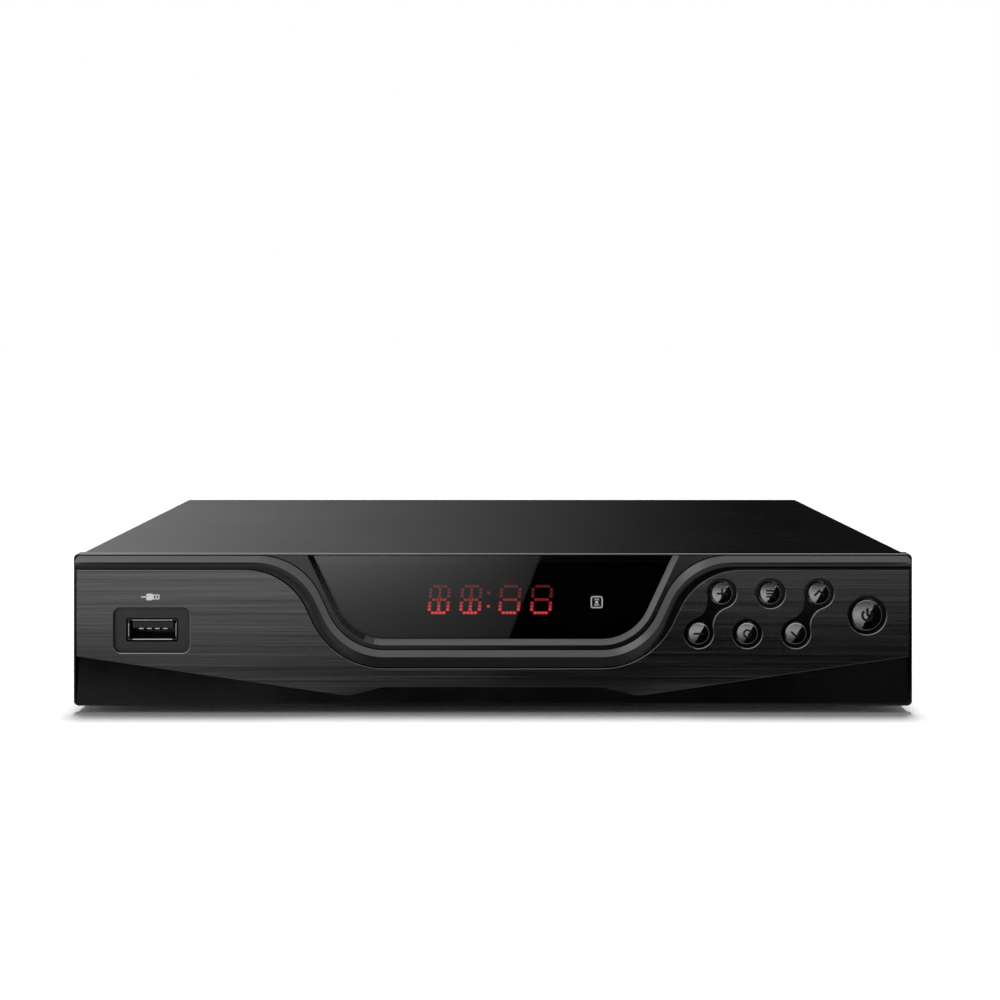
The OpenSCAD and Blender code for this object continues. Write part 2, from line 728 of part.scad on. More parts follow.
// Folded cover: the roof and both sides, with a row of slots in each side
module top_cover() {
    front = rim_y + lip_len + 0.05;
    color([0.13, 0.13, 0.135]) difference() {
        slab(front, rear_y) difference() {
            cover_section(cover_half, cover_top, fold_r);
            cover_section(inner_half, cover_top - sheet_t, fold_r - sheet_t);
        }
        for (i = [0:side_vents - 1], z = [-1, 1])
            translate([0, rim_y + 36 + i * vent_pitch, foot_h + panel_h * 0.62 + z * 6])
                rotate([90, 0, 90]) linear_extrude(2 * panel_w, center = true) slot(9);
        for (side = [-1, 1], y = fastener_y)
            translate([side * cover_half, y, foot_h + fastener_z])
                rotate([0, 90, 0]) cylinder(r = screw_r + 0.3, h = 4, center = true);
    }
}

module cover_section(half, top, r) {
    translate([-half, tray_lift]) square([2 * half, top - r - tray_lift]);
    translate([r - half, top - r - 1]) square([2 * (half - r), r + 1]);
    for (x = [r - half, half - r]) translate([x, top - r]) circle(r);
}

// Low-headed screws, which stand out less than the ends of the front panel
module cover_screws() {
    color([0.1, 0.1, 0.1]) for (side = [-1, 1], y = fastener_y)
        translate([side * cover_half, y, foot_h + fastener_z]) rotate([0, side * 90, 0]) {
            cylinder(r1 = screw_r * 1.9, r2 = screw_r * 1.6, h = low_head);
            translate([0, 0, -3]) cylinder(r = screw_r, h = 3.2);
        }
}

module rubber_feet() {
    h = foot_h + tray_lift;
    color([0.09, 0.09, 0.09]) for (at = feet_at) translate([at[0], at[1], 0])
        rotate_extrude() polygon([[0, 0.5], [foot_r * 0.45, 0.5], [foot_r * 0.55, 0],
            [foot_r - 0.7, 0], [foot_r - 0.3, 0.4], [foot_r, h], [0, h]]);
}

// ---------------------------------------------------------------- boards

main_x0 = phono_x[0] - 8;
main_x1 = inner_half - 3;
main_y0 = rim_y + board_d + 14;
main_y1 = rear_in_y - 1;
power_x0 = 3 - inner_half;
power_x1 = main_x0 - 10;
power_y0 = rim_y + case_d * 0.41;
power_y1 = rear_in_y - 6;
power_w = power_x1 - power_x0;
power_d = power_y1 - power_y0;
main_posts = [[main_x0 + 5, main_y0 + 6], [main_x1 - 6, main_y0 + 6],
    [main_x0 + 5, main_y1 - 26], [main_x1 - 6, main_y1 - 44]];
power_posts = [[power_x0 + 4, power_y0 + 4], [power_x1 - 4, power_y0 + 4],
    [power_x0 + 4, power_y1 - 4], [power_x1 - 4, power_y1 - 4]];
posts = concat(main_posts, power_posts);

module board(x0, y0, x1, y1, holes) {
    difference() {
        standing(x0, y0, mount_z) cube([x1 - x0, y1 - y0, board_t]);
        for (at = holes) standing(at[0], at[1], mount_z - 1)
            cylinder(r = screw_r + 0.3, h = board_t + 2);
    }
}

module main_board() color(board_green) board(main_x0, main_y0, main_x1, main_y1, main_posts);
module power_board() color([0.55, 0.42, 0.2])
    board(power_x0, power_y0, power_x1, power_y1, power_posts);

module standoffs() {
    color([0.78, 0.66, 0.36]) for (at = posts) standing(at[0], at[1], tray_top) difference() {
        cylinder(r = 2.8, h = standoff_h, $fn = 6);
        translate([0, 0, 1]) cylinder(r = screw_r + pilot_gap, h = standoff_h);
    }
}

module board_screws() {
    color(nickel) for (at = posts) standing(at[0], at[1], deck_z) pan_screw(4.5);
}

chip_at = [main_x0 + 58, rim_y + case_d * 0.56];
chip_side = 27;
chip_t = 1.8;
module processor() color([0.08, 0.08, 0.08])
    standing(chip_at[0], chip_at[1], deck_z) block(chip_side, chip_side, chip_t);

fin_count = 8;
sink_side = 32;
sink_base = 2;
sink_h = 11;
module heat_sink() {
    fin_t = 1.2;
    color([0.15, 0.15, 0.16]) standing(chip_at[0], chip_at[1], deck_z + chip_t) {
        block(sink_side, sink_side, sink_base);
        for (i = [0:fin_count - 1])
            translate([(i / (fin_count - 1) - 0.5) * (sink_side - fin_t), 0, 0])
                block(fin_t, sink_side, sink_h);
    }
}

module memory_chips() {
    color([0.07, 0.07, 0.07]) {
        for (dy = [-10, 6]) standing(chip_at[0] + 32, chip_at[1] + dy, deck_z)
            block(12.5, 9, 1.2);
        standing(chip_at[0] + 2, chip_at[1] - 32, deck_z) block(20, 12, 1.2);
    }
}

// Upright can with a rolled groove near its foot
module can(r, h) {
    rotate_extrude() polygon([[0, 0], [r, 0], [r, h * 0.1], [r * 0.92, h * 0.14],
        [r, h * 0.18], [r, h - 0.5], [r - 0.5, h], [r * 0.8, h], [r * 0.78, h - 0.25],
        [0, h - 0.25]]);
}

module board_capacitors() {
    color([0.12, 0.13, 0.2]) {
        for (i = [0:2]) standing(power_x1 - power_w * 0.14, power_y0 + power_d * (0.37 + i * 0.15), deck_z)
            can(power_w * 0.062, 15);
        for (i = [0:3]) standing(main_x0 + 9 + i * 9, main_y0 + 22, deck_z) can(3.1, 11);
        for (i = [0:2]) standing(chip_at[0] + 52, chip_at[1] - 24 + i * 10, deck_z) can(3.1, 9);
    }
}

connector_h = 7;
ribbon_w = 20;
ribbon_x = main_x0 + 22;
ribbon_t = 0.6;
ribbon_low = deck_z + connector_h * 0.5;
ribbon_y0 = rim_y + board_d + board_t + 4;
ribbon_y1 = main_y0 + 9;
lead_y = power_y0 + 16;
module board_connectors() {
    color([0.85, 0.84, 0.78]) {
        slab(rim_y + board_d + board_t, ribbon_y0) translate([ribbon_x, 13])
            square([ribbon_w + 4, 5], center = true);
        standing(ribbon_x, ribbon_y1 + 2.5, deck_z) block(ribbon_w + 4, 5, connector_h);
        standing(power_x1 - 4, lead_y, deck_z) block(5, 16, connector_h);
        standing(main_x0 + 5, lead_y, deck_z) block(5, 16, connector_h);
    }
}

// Flat cable that leaves the display board level and dips to the main board
module ribbon_cable() {
    h = 13 - ribbon_low;
    span = ribbon_y1 - ribbon_y0;
    curve = [for (i = [0:12]) let (t = i / 12)
        [ribbon_y0 + t * span, ribbon_low + h * (1 + cos(180 * t)) / 2]];
    color([0.75, 0.75, 0.73]) across(ribbon_x - ribbon_w / 2, ribbon_x + ribbon_w / 2)
        polygon(concat(curve, [for (i = [12:-1:0]) curve[i] + [0, ribbon_t]]));
}

module power_lead() {
    start = power_x1 - 1.15;
    span = main_x0 + 2.15 - start;
    for (i = [-2:2]) color(i < 0 ? [0.75, 0.1, 0.08] : [0.08, 0.08, 0.08])
        lead([for (k = [0:10]) let (t = k / 10) [start + t * span,
            lead_y + i * 2.6, foot_h + deck_z + connector_h * 0.5 + 3 * (1 - cos(360 * t))]], 0.8);
}

tuner_w = 2 * aerial_edge + aerial_pitch - 12;
tuner_d = 36;
tuner_x = panel_w / 2 - aerial_edge - aerial_pitch / 2;
tuner_h = 18;
module tuner_can() {
    color(steel) {
        standing(tuner_x, rear_in_y - 1.2 - tuner_d / 2, deck_z) difference() {
            block(tuner_w, tuner_d, tuner_h);
            translate([0, 0, tuner_h - 0.5]) difference() {
                block(tuner_w + 1, tuner_d + 1, 1);
                block(tuner_w - 1.4, tuner_d - 1.4, 1);
            }
        }
        for (i = [-1, 1]) standing(tuner_x + i * 8, rear_in_y - 1.2 - tuner_d / 2,
            deck_z + tuner_h) block(5, 16, 0.4);
    }
}

// ---------------------------------------------------------------- rear sockets

dielectric_r = 3.3;
nut_t = 2.4;
// Step from the free length of a socket down to the part under its nut or ring
seat_relief = 0.3;
module aerial_socket(i) {
    thread_start = 1.2 + sheet_t + nut_t;
    tip = 1.2 + sheet_t + aerial_reach - 0.3;
    color(nickel) turned(aerial_at[i], rear_in_y - 1.2) difference() {
        union() {
            cylinder(r = 6.2, h = 1.2);
            cylinder(r = aerial_r - seat_relief, h = thread_start);
            translate([0, 0, thread_start]) cylinder(r = aerial_r, h = tip - thread_start);
            translate([0, 0, tip]) cylinder(r1 = aerial_r, r2 = aerial_r - 0.3, h = 0.3);
        }
        translate([0, 0, 0.6]) cylinder(r = dielectric_r, h = aerial_reach + 5);
    }
}
module lnb_input_socket() aerial_socket(0);
module loop_output_socket() aerial_socket(1);

module socket_insulators() {
    color([0.93, 0.93, 0.9]) for (at = aerial_at) turned(at, rear_in_y - 0.6) difference() {
        cylinder(r = dielectric_r, h = 0.6 + sheet_t + aerial_reach - 1.2);
        translate([0, 0, 3]) cylinder(r = 0.7, h = aerial_reach + 5);
    }
}

module socket_nuts() {
    color(nickel) for (at = aerial_at) turned(at, rear_y) difference() {
        cylinder(r = 6.9, h = nut_t, $fn = 6);
        translate([0, 0, -1]) cylinder(r = aerial_r - seat_relief + 0.03, h = nut_t + 2);
    }
}

phono_body = 12;
phono_deep = 11;
phono_collar = 1.4;
module phono_block() {
    x0 = phono_x[0] - phono_body / 2;
    x1 = phono_x[3] + phono_body / 2;
    color([0.1, 0.1, 0.1]) difference() {
        standing(x0, rear_in_y - phono_deep, deck_z)
            cube([x1 - x0, phono_deep, phono_z - deck_z + phono_body / 2]);
        for (x = phono_x) turned([x, phono_z], rear_in_y - 2)
            cylinder(r = phono_r + 1, h = 3);
    }
}

// Coloured collar that shows round each sleeve in the rear wall
module phono_ring(i, tint) {
    color(tint) turned([phono_x[i], phono_z], rear_in_y - 2) difference() {
        cylinder(r = phono_r + 1, h = 2 + sheet_t + phono_collar);
        translate([0, 0, -1]) cylinder(r = phono_r - seat_relief, h = 8);
    }
}
module video_ring() phono_ring(0, [0.9, 0.75, 0.1]);
module left_audio_ring() phono_ring(1, [0.9, 0.9, 0.88]);
module right_audio_ring() phono_ring(2, [0.75, 0.08, 0.08]);
module digital_audio_ring() phono_ring(3, [0.9, 0.4, 0.05]);

module phono_sleeves() {
    length = 2 + sheet_t + phono_reach;
    color(nickel) for (x = phono_x) turned([x, phono_z], rear_in_y - 2) difference() {
        union() {
            cylinder(r = phono_r - seat_relief, h = 2 + sheet_t + phono_collar);
            translate([0, 0, 2 + sheet_t + phono_collar])
                cylinder(r = phono_r, h = phono_reach - phono_collar);
        }
        translate([0, 0, length - 0.4]) difference() {
            cylinder(r = phono_r - 0.7, h = 1);
            cylinder(r = 2.3, h = 1);
        }
        translate([0, 0, 2]) cylinder(r = 1.65, h = length);
    }
}

hdmi_w = 15;
hdmi_h = 5.6;
hdmi_sheet = 0.4;
// Opening of the plug: a rectangle with its lower corners cut away
module hdmi_outline(inset) {
    w = hdmi_w / 2 - inset;
    h = hdmi_h / 2 - inset;
    polygon([[-w, h], [-w, -h + 2], [-w + 1.2, -h + 1], [-w + 2, -h], [w - 2, -h],
        [w - 1.2, -h + 1], [w, -h + 2], [w, h]]);
}

module hdmi_shell() {
    color(steel) {
        slab(rear_in_y - 10, rear_y + 0.6) translate(hdmi_at) difference() {
            hdmi_outline(0);
            hdmi_outline(hdmi_sheet);
        }
        slab(rear_in_y - 11, rear_in_y - 9.5) translate(hdmi_at) hdmi_outline(hdmi_sheet / 2);
        for (x = [-1, 1]) standing(hdmi_at[0] + x * 6, rear_in_y - 8, deck_z)
            block(1.4, 3, 1);
    }
}

module hdmi_tongue() {
    color([0.08, 0.08, 0.08]) slab(rear_in_y - 9.5, rear_y - 0.6) translate(hdmi_at)
        translate([0, 0.2]) square([11.6, 1.2], center = true);
}

module ethernet_socket() {
    color(steel) difference() {
        slab(rear_in_y - 20, rear_y + 0.3) translate(ethernet_at)
            square([ethernet_w, ethernet_h], center = true);
        slab(rear_y - 14, rear_y + 1) translate(ethernet_at) {
            square(ethernet_in, center = true);
            translate([0, -ethernet_in[1] / 2 - 0.6]) square([6.2, 1.4], center = true);
            translate([0, -ethernet_in[1] / 2 - 1.7]) square([3.2, 1.4], center = true);
        }
    }
}

module ethernet_contacts() {
    top = ethernet_at[1] + ethernet_in[1] / 2;
    color([0.85, 0.7, 0.35]) for (i = [0:7])
        across(ethernet_at[0] + (i - 3.5) * 1.02 - 0.2, ethernet_at[0] + (i - 3.5) * 1.02 + 0.2)
            polygon([[rear_y - 4, top], [rear_y - 3.6, top], [rear_y - 9, top - 2.4],
                [rear_y - 9.6, top - 2.4]]);
}

// ---------------------------------------------------------------- mains side

core_at = [power_x0 + power_w * 0.525, power_y0 + power_d * 0.37];
core_w = power_w * 0.4;
core_d = power_d * 0.3;
core_h = 20;
core_z = deck_z + 2;
limb = core_w * 0.19;
pole_w = core_w * 0.23;
module transformer_core() {
    color([0.14, 0.14, 0.15]) standing(core_at[0], core_at[1], core_z) {
        for (x = [-1, 1]) translate([x * (core_w - limb) / 2, 0, 0])
            block(limb, core_d * 0.42, core_h);
        block(pole_w, core_d * 0.42, core_h);
        for (z = [0, core_h - limb]) translate([0, 0, z]) block(core_w, core_d * 0.42, limb);
    }
}

module transformer_winding() {
    color([0.85, 0.72, 0.2]) difference() {
        union() {
            standing(core_at[0], core_at[1], core_z + limb + 0.1)
                block(core_w * 0.58, core_d * 0.82, core_h - 2 * limb - 0.2);
            for (y = [-1, 1]) standing(core_at[0], core_at[1] + y * core_d * 0.33, deck_z)
                block(core_w * 0.77, core_d * 0.29, core_z + limb + 0.1 - deck_z);
        }
        standing(core_at[0], core_at[1], core_z) block(pole_w + 0.2, core_d * 0.42 + 0.2, core_h);
        standing(core_at[0], core_at[1], core_z - 0.1)
            block(core_w + 2, core_d * 0.42 + 0.2, limb + 0.2);
    }
}

module mains_capacitor() color([0.1, 0.12, 0.3])
    standing(power_x0 + power_w * 0.17, power_y0 + power_d * 0.29, deck_z) can(power_w * 0.124, 26);

// Wound ring that lies in the hollow top of its carrier
module noise_choke() {
    side = power_w * 0.355;
    ring_r = side * 0.3;
    wire_r = side * 0.148;
    at = [power_x0 + side * 0.65, rear_in_y - inlet_deep - side / 2 - 0.7];
    color([0.55, 0.3, 0.12]) standing(at[0], at[1], deck_z + wire_r * 1.82)
        rotate_extrude() translate([ring_r, 0]) circle(wire_r);
    color([0.12, 0.12, 0.12]) standing(at[0], at[1], deck_z) difference() {
        block(side, side, wire_r);
        translate([0, 0, wire_r * 1.82]) rotate_extrude() translate([ring_r, 0])
            circle(wire_r + 0.05);
    }
}

module power_heat_sink() {
    front = core_at[1] + core_d * 0.48 + 2;
    rear = rear_in_y - switch_deep - 6;
    color([0.6, 0.61, 0.63]) standing(power_x1 - power_w * 0.31, (front + rear) / 2, deck_z) {
        block(2, rear - front, 22);
        for (i = [-2:2]) translate([-3, i * (rear - front - 1.2) / 4, 0]) block(6, 1.2, 22);
    }
}

module mains_inlet() {
    color(black) difference() {
        union() {
            slab(rear_y, rear_y + inlet_bezel) translate(inlet_at) inlet_outline(2.6);
            slab(rear_in_y - inlet_deep, rear_y + 0.2) translate(inlet_at) inlet_outline(0);
        }
        slab(rear_y - 11, rear_y + inlet_bezel + 1) translate(inlet_at) inlet_outline(-0.9);
    }
}

module inlet_pins() {
    color(nickel) for (x = [-1, 1]) turned(inlet_at + [x * 4.3, 0], rear_y - 11) {
        cylinder(r = 1.2, h = 10);
        translate([0, 0, 10]) sphere(r = 1.2);
    }
}

pivot_in = 2.4;
pivot_y = rear_y + 1.6 - pivot_in;
pivot_r = 1.4;
paddle_half = 7.8;
paddle_w = 9.6;
paddle_tilt = 10;
module switch_body() {
    well_w = paddle_w + 0.6;
    color(black) difference() {
        union() {
            slab(rear_y, rear_y + 1.6) translate(switch_at)
                rounded_rect(switch_w + 2.4, switch_h + 2, 1);
            slab(rear_in_y - switch_deep, rear_y + 0.2) translate(switch_at)
                rounded_rect(switch_w, switch_h, 0.6);
        }
        slab(rear_y - 7, rear_y + 3) translate(switch_at)
            square([well_w, 2 * paddle_half + 1.6], center = true);
        translate([switch_at[0], pivot_y, foot_h + switch_at[1]]) rotate([0, 90, 0])
            cylinder(r = pivot_r + 0.05, h = paddle_w + 2.6, center = true);
    }
}

// Rocker with two shallow faces that meet over its pivot, tilted as when it is off
module rocker_paddle() {
    crown = 2.1;
    tip = 3.4;
    color([0.08, 0.08, 0.085])
        translate([switch_at[0], pivot_y, foot_h + switch_at[1]]) rotate([paddle_tilt, 0, 0]) {
            rotate([90, 0, 90]) linear_extrude(paddle_w, center = true) {
                polygon([[-1, -paddle_half], [tip, -paddle_half], [crown, -1.5], [crown, 1.5],
                    [tip, paddle_half], [-1, paddle_half], [-2, 3], [-2, -3]]);
                circle(pivot_r + 0.8);
            }
            rotate([0, 90, 0]) cylinder(r = pivot_r, h = paddle_w + 2, center = true);
        }
}

module plus_key() key("plus");
module minus_key() key("minus");
module menu_key() key("menu");
module ok_key() key("ok");
module up_key() key("up");
module down_key() key("down");
module power_key() key("power");

chassis_tray();
top_cover();
rubber_feet();
cover_screws();
fascia_body();
brushed_plate();
window_bezel();
trim_band();
display_window();
usb_shell();
usb_tongue();
usb_contacts();
front_board();
front_board_screws();
led_display();
led_segments();
ir_receiver();
tact_switches();
ribbon_cable();
board_connectors();
main_board();
standoffs();
board_screws();
processor();
heat_sink();
memory_chips();
board_capacitors();
tuner_can();
lnb_input_socket();
loop_output_socket();
socket_insulators();
socket_nuts();
hdmi_shell();
hdmi_tongue();
phono_block();
phono_sleeves();
video_ring();
left_audio_ring();
right_audio_ring();
digital_audio_ring();
ethernet_socket();
ethernet_contacts();
power_board();
transformer_core();
transformer_winding();
mains_capacitor();
noise_choke();
power_heat_sink();
mains_inlet();
inlet_pins();
switch_body();
rocker_paddle();
power_lead();
plus_key();
minus_key();
menu_key();
ok_key();
up_key();
down_key();
power_key();
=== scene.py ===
"""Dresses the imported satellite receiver: meshes, finishes, studio and camera.

Lengths are millimetres in the sizes below and metres in the meshes. X runs to the right seen
from the front, the front faces -Y and Z is up, as in the model.
"""

import json
import logging
import math
from collections.abc import Callable, Iterable, Mapping, Sequence
from dataclasses import dataclass, field
from enum import Enum

import bmesh
import bpy
from mathutils import Matrix, Vector

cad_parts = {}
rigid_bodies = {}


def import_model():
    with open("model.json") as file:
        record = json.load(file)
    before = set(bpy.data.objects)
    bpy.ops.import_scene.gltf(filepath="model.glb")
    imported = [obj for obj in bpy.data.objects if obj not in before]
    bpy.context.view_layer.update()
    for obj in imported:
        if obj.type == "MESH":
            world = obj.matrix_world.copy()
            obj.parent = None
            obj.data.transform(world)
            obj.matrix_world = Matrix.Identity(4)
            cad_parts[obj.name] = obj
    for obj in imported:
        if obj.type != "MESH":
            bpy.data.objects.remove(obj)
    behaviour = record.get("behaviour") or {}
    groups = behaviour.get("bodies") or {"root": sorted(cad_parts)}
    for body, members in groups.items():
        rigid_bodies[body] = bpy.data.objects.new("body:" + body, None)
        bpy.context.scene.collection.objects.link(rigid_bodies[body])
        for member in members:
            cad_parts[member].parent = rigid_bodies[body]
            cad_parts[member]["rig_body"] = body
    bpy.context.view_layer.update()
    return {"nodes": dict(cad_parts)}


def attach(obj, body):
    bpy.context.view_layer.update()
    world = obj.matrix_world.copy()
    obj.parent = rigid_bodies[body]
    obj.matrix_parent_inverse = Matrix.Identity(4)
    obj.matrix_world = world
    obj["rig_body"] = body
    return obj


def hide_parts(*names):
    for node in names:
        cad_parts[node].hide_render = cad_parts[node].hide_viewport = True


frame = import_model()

LOG = logging.getLogger("receiver")
MM = 0.001

Point2 = tuple[float, float]
Outline = list[Point2]
Colour = tuple[float, float, float]


# ------------------------------------------------------------------ shared sizes


@dataclass(frozen=True)
class Layout:
    """Sizes that several sub-assemblies share, in millimetres."""

    rim_y: float = -79.75
    rear_y: float = 70.25
    foot_h: float = 2.0
    panel_w: float = 220.0
    panel_h: float = 40.0
    cover_half: float = 109.4
    plate_sink: float = 0.15
    plate_back: float = 1.15
    lens_face: float = 1.9


LAYOUT = Layout()


class Facing(Enum):
    """Side of the case that a drawing is made on: directions of its u, v and outward axes."""

    FRONT = ((1, 0, 0), (0, 0, 1), (0, -1, 0))
    REAR = ((-1, 0, 0), (0, 0, 1), (0, 1, 0))
    RIGHT = ((0, 1, 0), (0, 0, 1), (1, 0, 0))
    TOP = ((1, 0, 0), (0, 1, 0), (0, 0, 1))

    def frame(self, x: float, y: float, z: float) -> Matrix:
        """Matrix from a drawing in millimetres, with its origin at that place, to metres."""
        u, v, w = (Vector(axis) * MM for axis in self.value)
        turn = Matrix((u, v, w)).transposed().to_4x4()
        return Matrix.Translation(Vector((x, y, z)) * MM) @ turn


def on_panel(x: float, height: float, depth: float = 0.0) -> Matrix:
    """Frame of a drawing on the front panel, above its foot and behind its rim."""
    return Facing.FRONT.frame(x, LAYOUT.rim_y + depth, LAYOUT.foot_h + height)


def on_rear(x: float, height: float, out: float = 0.0) -> Matrix:
    """Frame of a drawing on the rear wall, at an x seen from the front, and out of the wall."""
    return Facing.REAR.frame(x, LAYOUT.rear_y + out, LAYOUT.foot_h + height)


# ------------------------------------------------------------------ outlines


def arc(centre: Point2, radius: float, start: float, end: float, steps: int) -> Outline:
    """Points of an arc between two angles in degrees, in that number of chords."""
    angles = (math.radians(start + (end - start) * i / steps) for i in range(steps + 1))
    return [(centre[0] + radius * math.cos(a), centre[1] + radius * math.sin(a)) for a in angles]


def ring(radius: float, sides: int = 48, centre: Point2 = (0.0, 0.0)) -> Outline:
    """Circle of that radius as a closed outline."""
    return arc(centre, radius, 0, 360, sides)[:-1]


def box(left: float, low: float, right: float, high: float) -> Outline:
    """Rectangle between those sides, anticlockwise."""
    return [(left, low), (right, low), (right, high), (left, high)]


def rounded(width: float, height: float, radius: float, steps: int = 5) -> Outline:
    """Rounded rectangle about the origin, anticlockwise, with that many chords in a corner."""
    x, y = width / 2 - radius, height / 2 - radius
    corners = ((x, y, 0), (-x, y, 90), (-x, -y, 180), (x, -y, 270))
    return [p for cx, cy, a in corners for p in arc((cx, cy), radius, a, a + 90, steps)]


def shifted(outline: Outline, dx: float, dy: float) -> Outline:
    """The outline moved by dx and dy."""
    return [(x + dx, y + dy) for x, y in outline]


def offset(outline: Outline, distance: float) -> Outline:
    """Outline with its edges moved outwards, or inwards where negative, and as many points."""
    moved = []
    count = len(outline)
    for i, here in enumerate(outline):
        before, after = Vector(outline[i - 1]), Vector(outline[(i + 1) % count])
        d0, d1 = (Vector(here) - before).normalized(), (after - Vector(here)).normalized()
        n0, n1 = Vector((d0.y, -d0.x)), Vector((d1.y, -d1.x))
        miter = n0 + n1
        if miter.length < 1e-6:
            miter = n0
        miter = miter.normalized() / max(0.35, miter.normalized().dot(n0))
        moved.append((here[0] + miter.x * distance, here[1] + miter.y * distance))
    return moved


def stroke(a: Point2, b: Point2, width: float, steps: int = 5) -> Outline:
    """Straight stroke with round ends, anticlockwise."""
    heading = math.degrees(math.atan2(b[1] - a[1], b[0] - a[0]))
    return (arc(b, width / 2, heading - 90, heading + 90, steps)
            + arc(a, width / 2, heading + 90, heading + 270, steps))


def bent_stroke(points: Sequence[Point2], width: float) -> Outline:
    """Open stroke along its middle line, with square ends, anticlockwise."""
    sides: list[Outline] = [[], []]
    last = len(points) - 1
    for i, here in enumerate(points):
        a, b = Vector(points[max(i - 1, 0)]), Vector(points[min(i + 1, last)])
        d0 = (Vector(here) - a).normalized() if i else (b - Vector(here)).normalized()
        d1 = (b - Vector(here)).normalized() if i < last else d0
        way = (d0 + d1).normalized()
        reach = width / 2 / max(0.4, way.dot(d0))
        for side, sign in zip(sides, (-1, 1)):
            side.append((here[0] - sign * way.y * reach, here[1] + sign * way.x * reach))
    return sides[0] + sides[1][::-1]


# ------------------------------------------------------------------ meshes


class Solid:
    """A mesh that grows by closed shells, each drawn in a frame of its own."""

    def __init__(self) -> None:
        """Starts with no points."""
        self.points: list[Vector] = []
        self.faces: list[list[int]] = []
        self.paints: list[int] = []
        self.paint = 0

    def _rings(self, place: Matrix, rings: Iterable[Sequence[tuple[float, float, float]]]
               ) -> list[list[int]]:
        """Adds rings of points and returns their indices."""
        indices = []
        for points in rings:
            first = len(self.points)
            self.points += [place @ Vector(p) for p in points]
            indices.append(list(range(first, first + len(points))))
        return indices

    def _face(self, corners: Sequence[int]) -> None:
        """Adds one face in the paint that is set."""
        self.faces.append(list(corners))
        self.paints.append(self.paint)

    def _wall(self, low: Sequence[int], high: Sequence[int]) -> None:
        """Joins two rings of as many points by faces that look away from their middle."""
        count = len(low)
        for i in range(count):
            j = (i + 1) % count
            self._face((low[i], low[j], high[j], high[i]))

    def prism(self, place: Matrix, outline: Outline, low: float, high: float,
              chamfer: float = 0.0) -> "Solid":
        """Adds a prism between two heights of the outward axis, with a bevel round its face."""
        levels = [(outline, low), (outline, high - chamfer)]
        if chamfer:
            levels.append((offset(outline, -chamfer), high))
        rings = self._rings(place, ([(x, y, w) for x, y in line] for line, w in levels))
        self._face(rings[0][::-1])
        for a, b in zip(rings, rings[1:]):
            self._wall(a, b)
        self._face(rings[-1])
        return self

    def frame_prism(self, place: Matrix, outer: Outline, inner: Outline, low: float,
                    high: float) -> "Solid":
        """Adds a prism with a hole. Both outlines are anticlockwise, with as many points."""
        lines = ((outer, low), (outer, high), (inner, high), (inner, low))
        rings = self._rings(place, ([(x, y, w) for x, y in line] for line, w in lines))
        for a, b in zip(rings, rings[1:] + rings[:1]):
            self._wall(a, b)
        return self

    def lathe(self, place: Matrix, profile: Sequence[Point2], sides: int = 48,
              closed: bool = False) -> "Solid":
        """Adds a turned shell about the outward axis.

        The profile gives the radius and height of each point, from the foot up. An end on the
        axis is closed there, and a closed profile is a loop, as for a tube.
        """
        turns = [(math.cos(2 * math.pi * k / sides), math.sin(2 * math.pi * k / sides))
                 for k in range(sides)]
        rings = []
        for radius, height in profile:
            on_axis = radius < 1e-9
            rings += self._rings(place, [[(0.0, 0.0, height)] if on_axis else
                                         [(radius * c, radius * s, height) for c, s in turns]])
        pairs = list(zip(rings, rings[1:])) + ([(rings[-1], rings[0])] if closed else [])
        for low, high in pairs:
            if len(low) > 1 and len(high) > 1:
                self._wall(low, high)
            elif len(low) > 1:
                for k in range(sides):
                    self._face((low[k], low[(k + 1) % sides], high[0]))
            elif len(high) > 1:
                for k in range(sides):
                    self._face((low[0], high[(k + 1) % sides], high[k]))
        if not closed:
            for end, turned_over in ((rings[0], True), (rings[-1], False)):
                if len(end) > 1:
                    self._face(end[::-1] if turned_over else end)
        return self

    def build(self, name: str, *finishes: "Finish", crease: float = 32.0) -> bpy.types.Object:
        """Makes and links the object, with one finish for each paint."""
        mesh = bpy.data.meshes.new(name)
        mesh.from_pydata(self.points, [], self.faces)
        for finish in finishes:
            mesh.materials.append(finish.material())
        mesh.polygons.foreach_set("material_index", self.paints)
        return linked(name, mesh, crease)


def creased(mesh: bpy.types.Mesh, crease: float) -> None:
    """Shades a mesh smooth, with edges sharp from an angle in degrees."""
    mesh.shade_smooth()
    mesh.set_sharp_from_angle(angle=math.radians(crease))


def used_up(piece: bpy.types.Object) -> None:
    """Removes a piece with its mesh."""
    mesh = piece.data
    bpy.data.objects.remove(piece)
    bpy.data.meshes.remove(mesh)


def linked(name: str, mesh: bpy.types.Mesh, crease: float | None = 32.0) -> bpy.types.Object:
    """Links a mesh under a name, with edges sharp from an angle in degrees, or as it was."""
    mesh.update()
    if crease is not None:
        creased(mesh, crease)
    piece = bpy.data.objects.new(name, mesh)
    bpy.context.scene.collection.objects.link(piece)
    return piece


def settled(piece: bpy.types.Object) -> bpy.types.Object:
    """Turns a piece with modifiers into a plain mesh."""
    bpy.context.view_layer.update()
    evaluated = piece.evaluated_get(bpy.context.evaluated_depsgraph_get())
    mesh = bpy.data.meshes.new_from_object(evaluated)
    piece.modifiers.clear()
    old, piece.data = piece.data, mesh
    mesh.name = piece.name
    bpy.data.meshes.remove(old)
    return piece


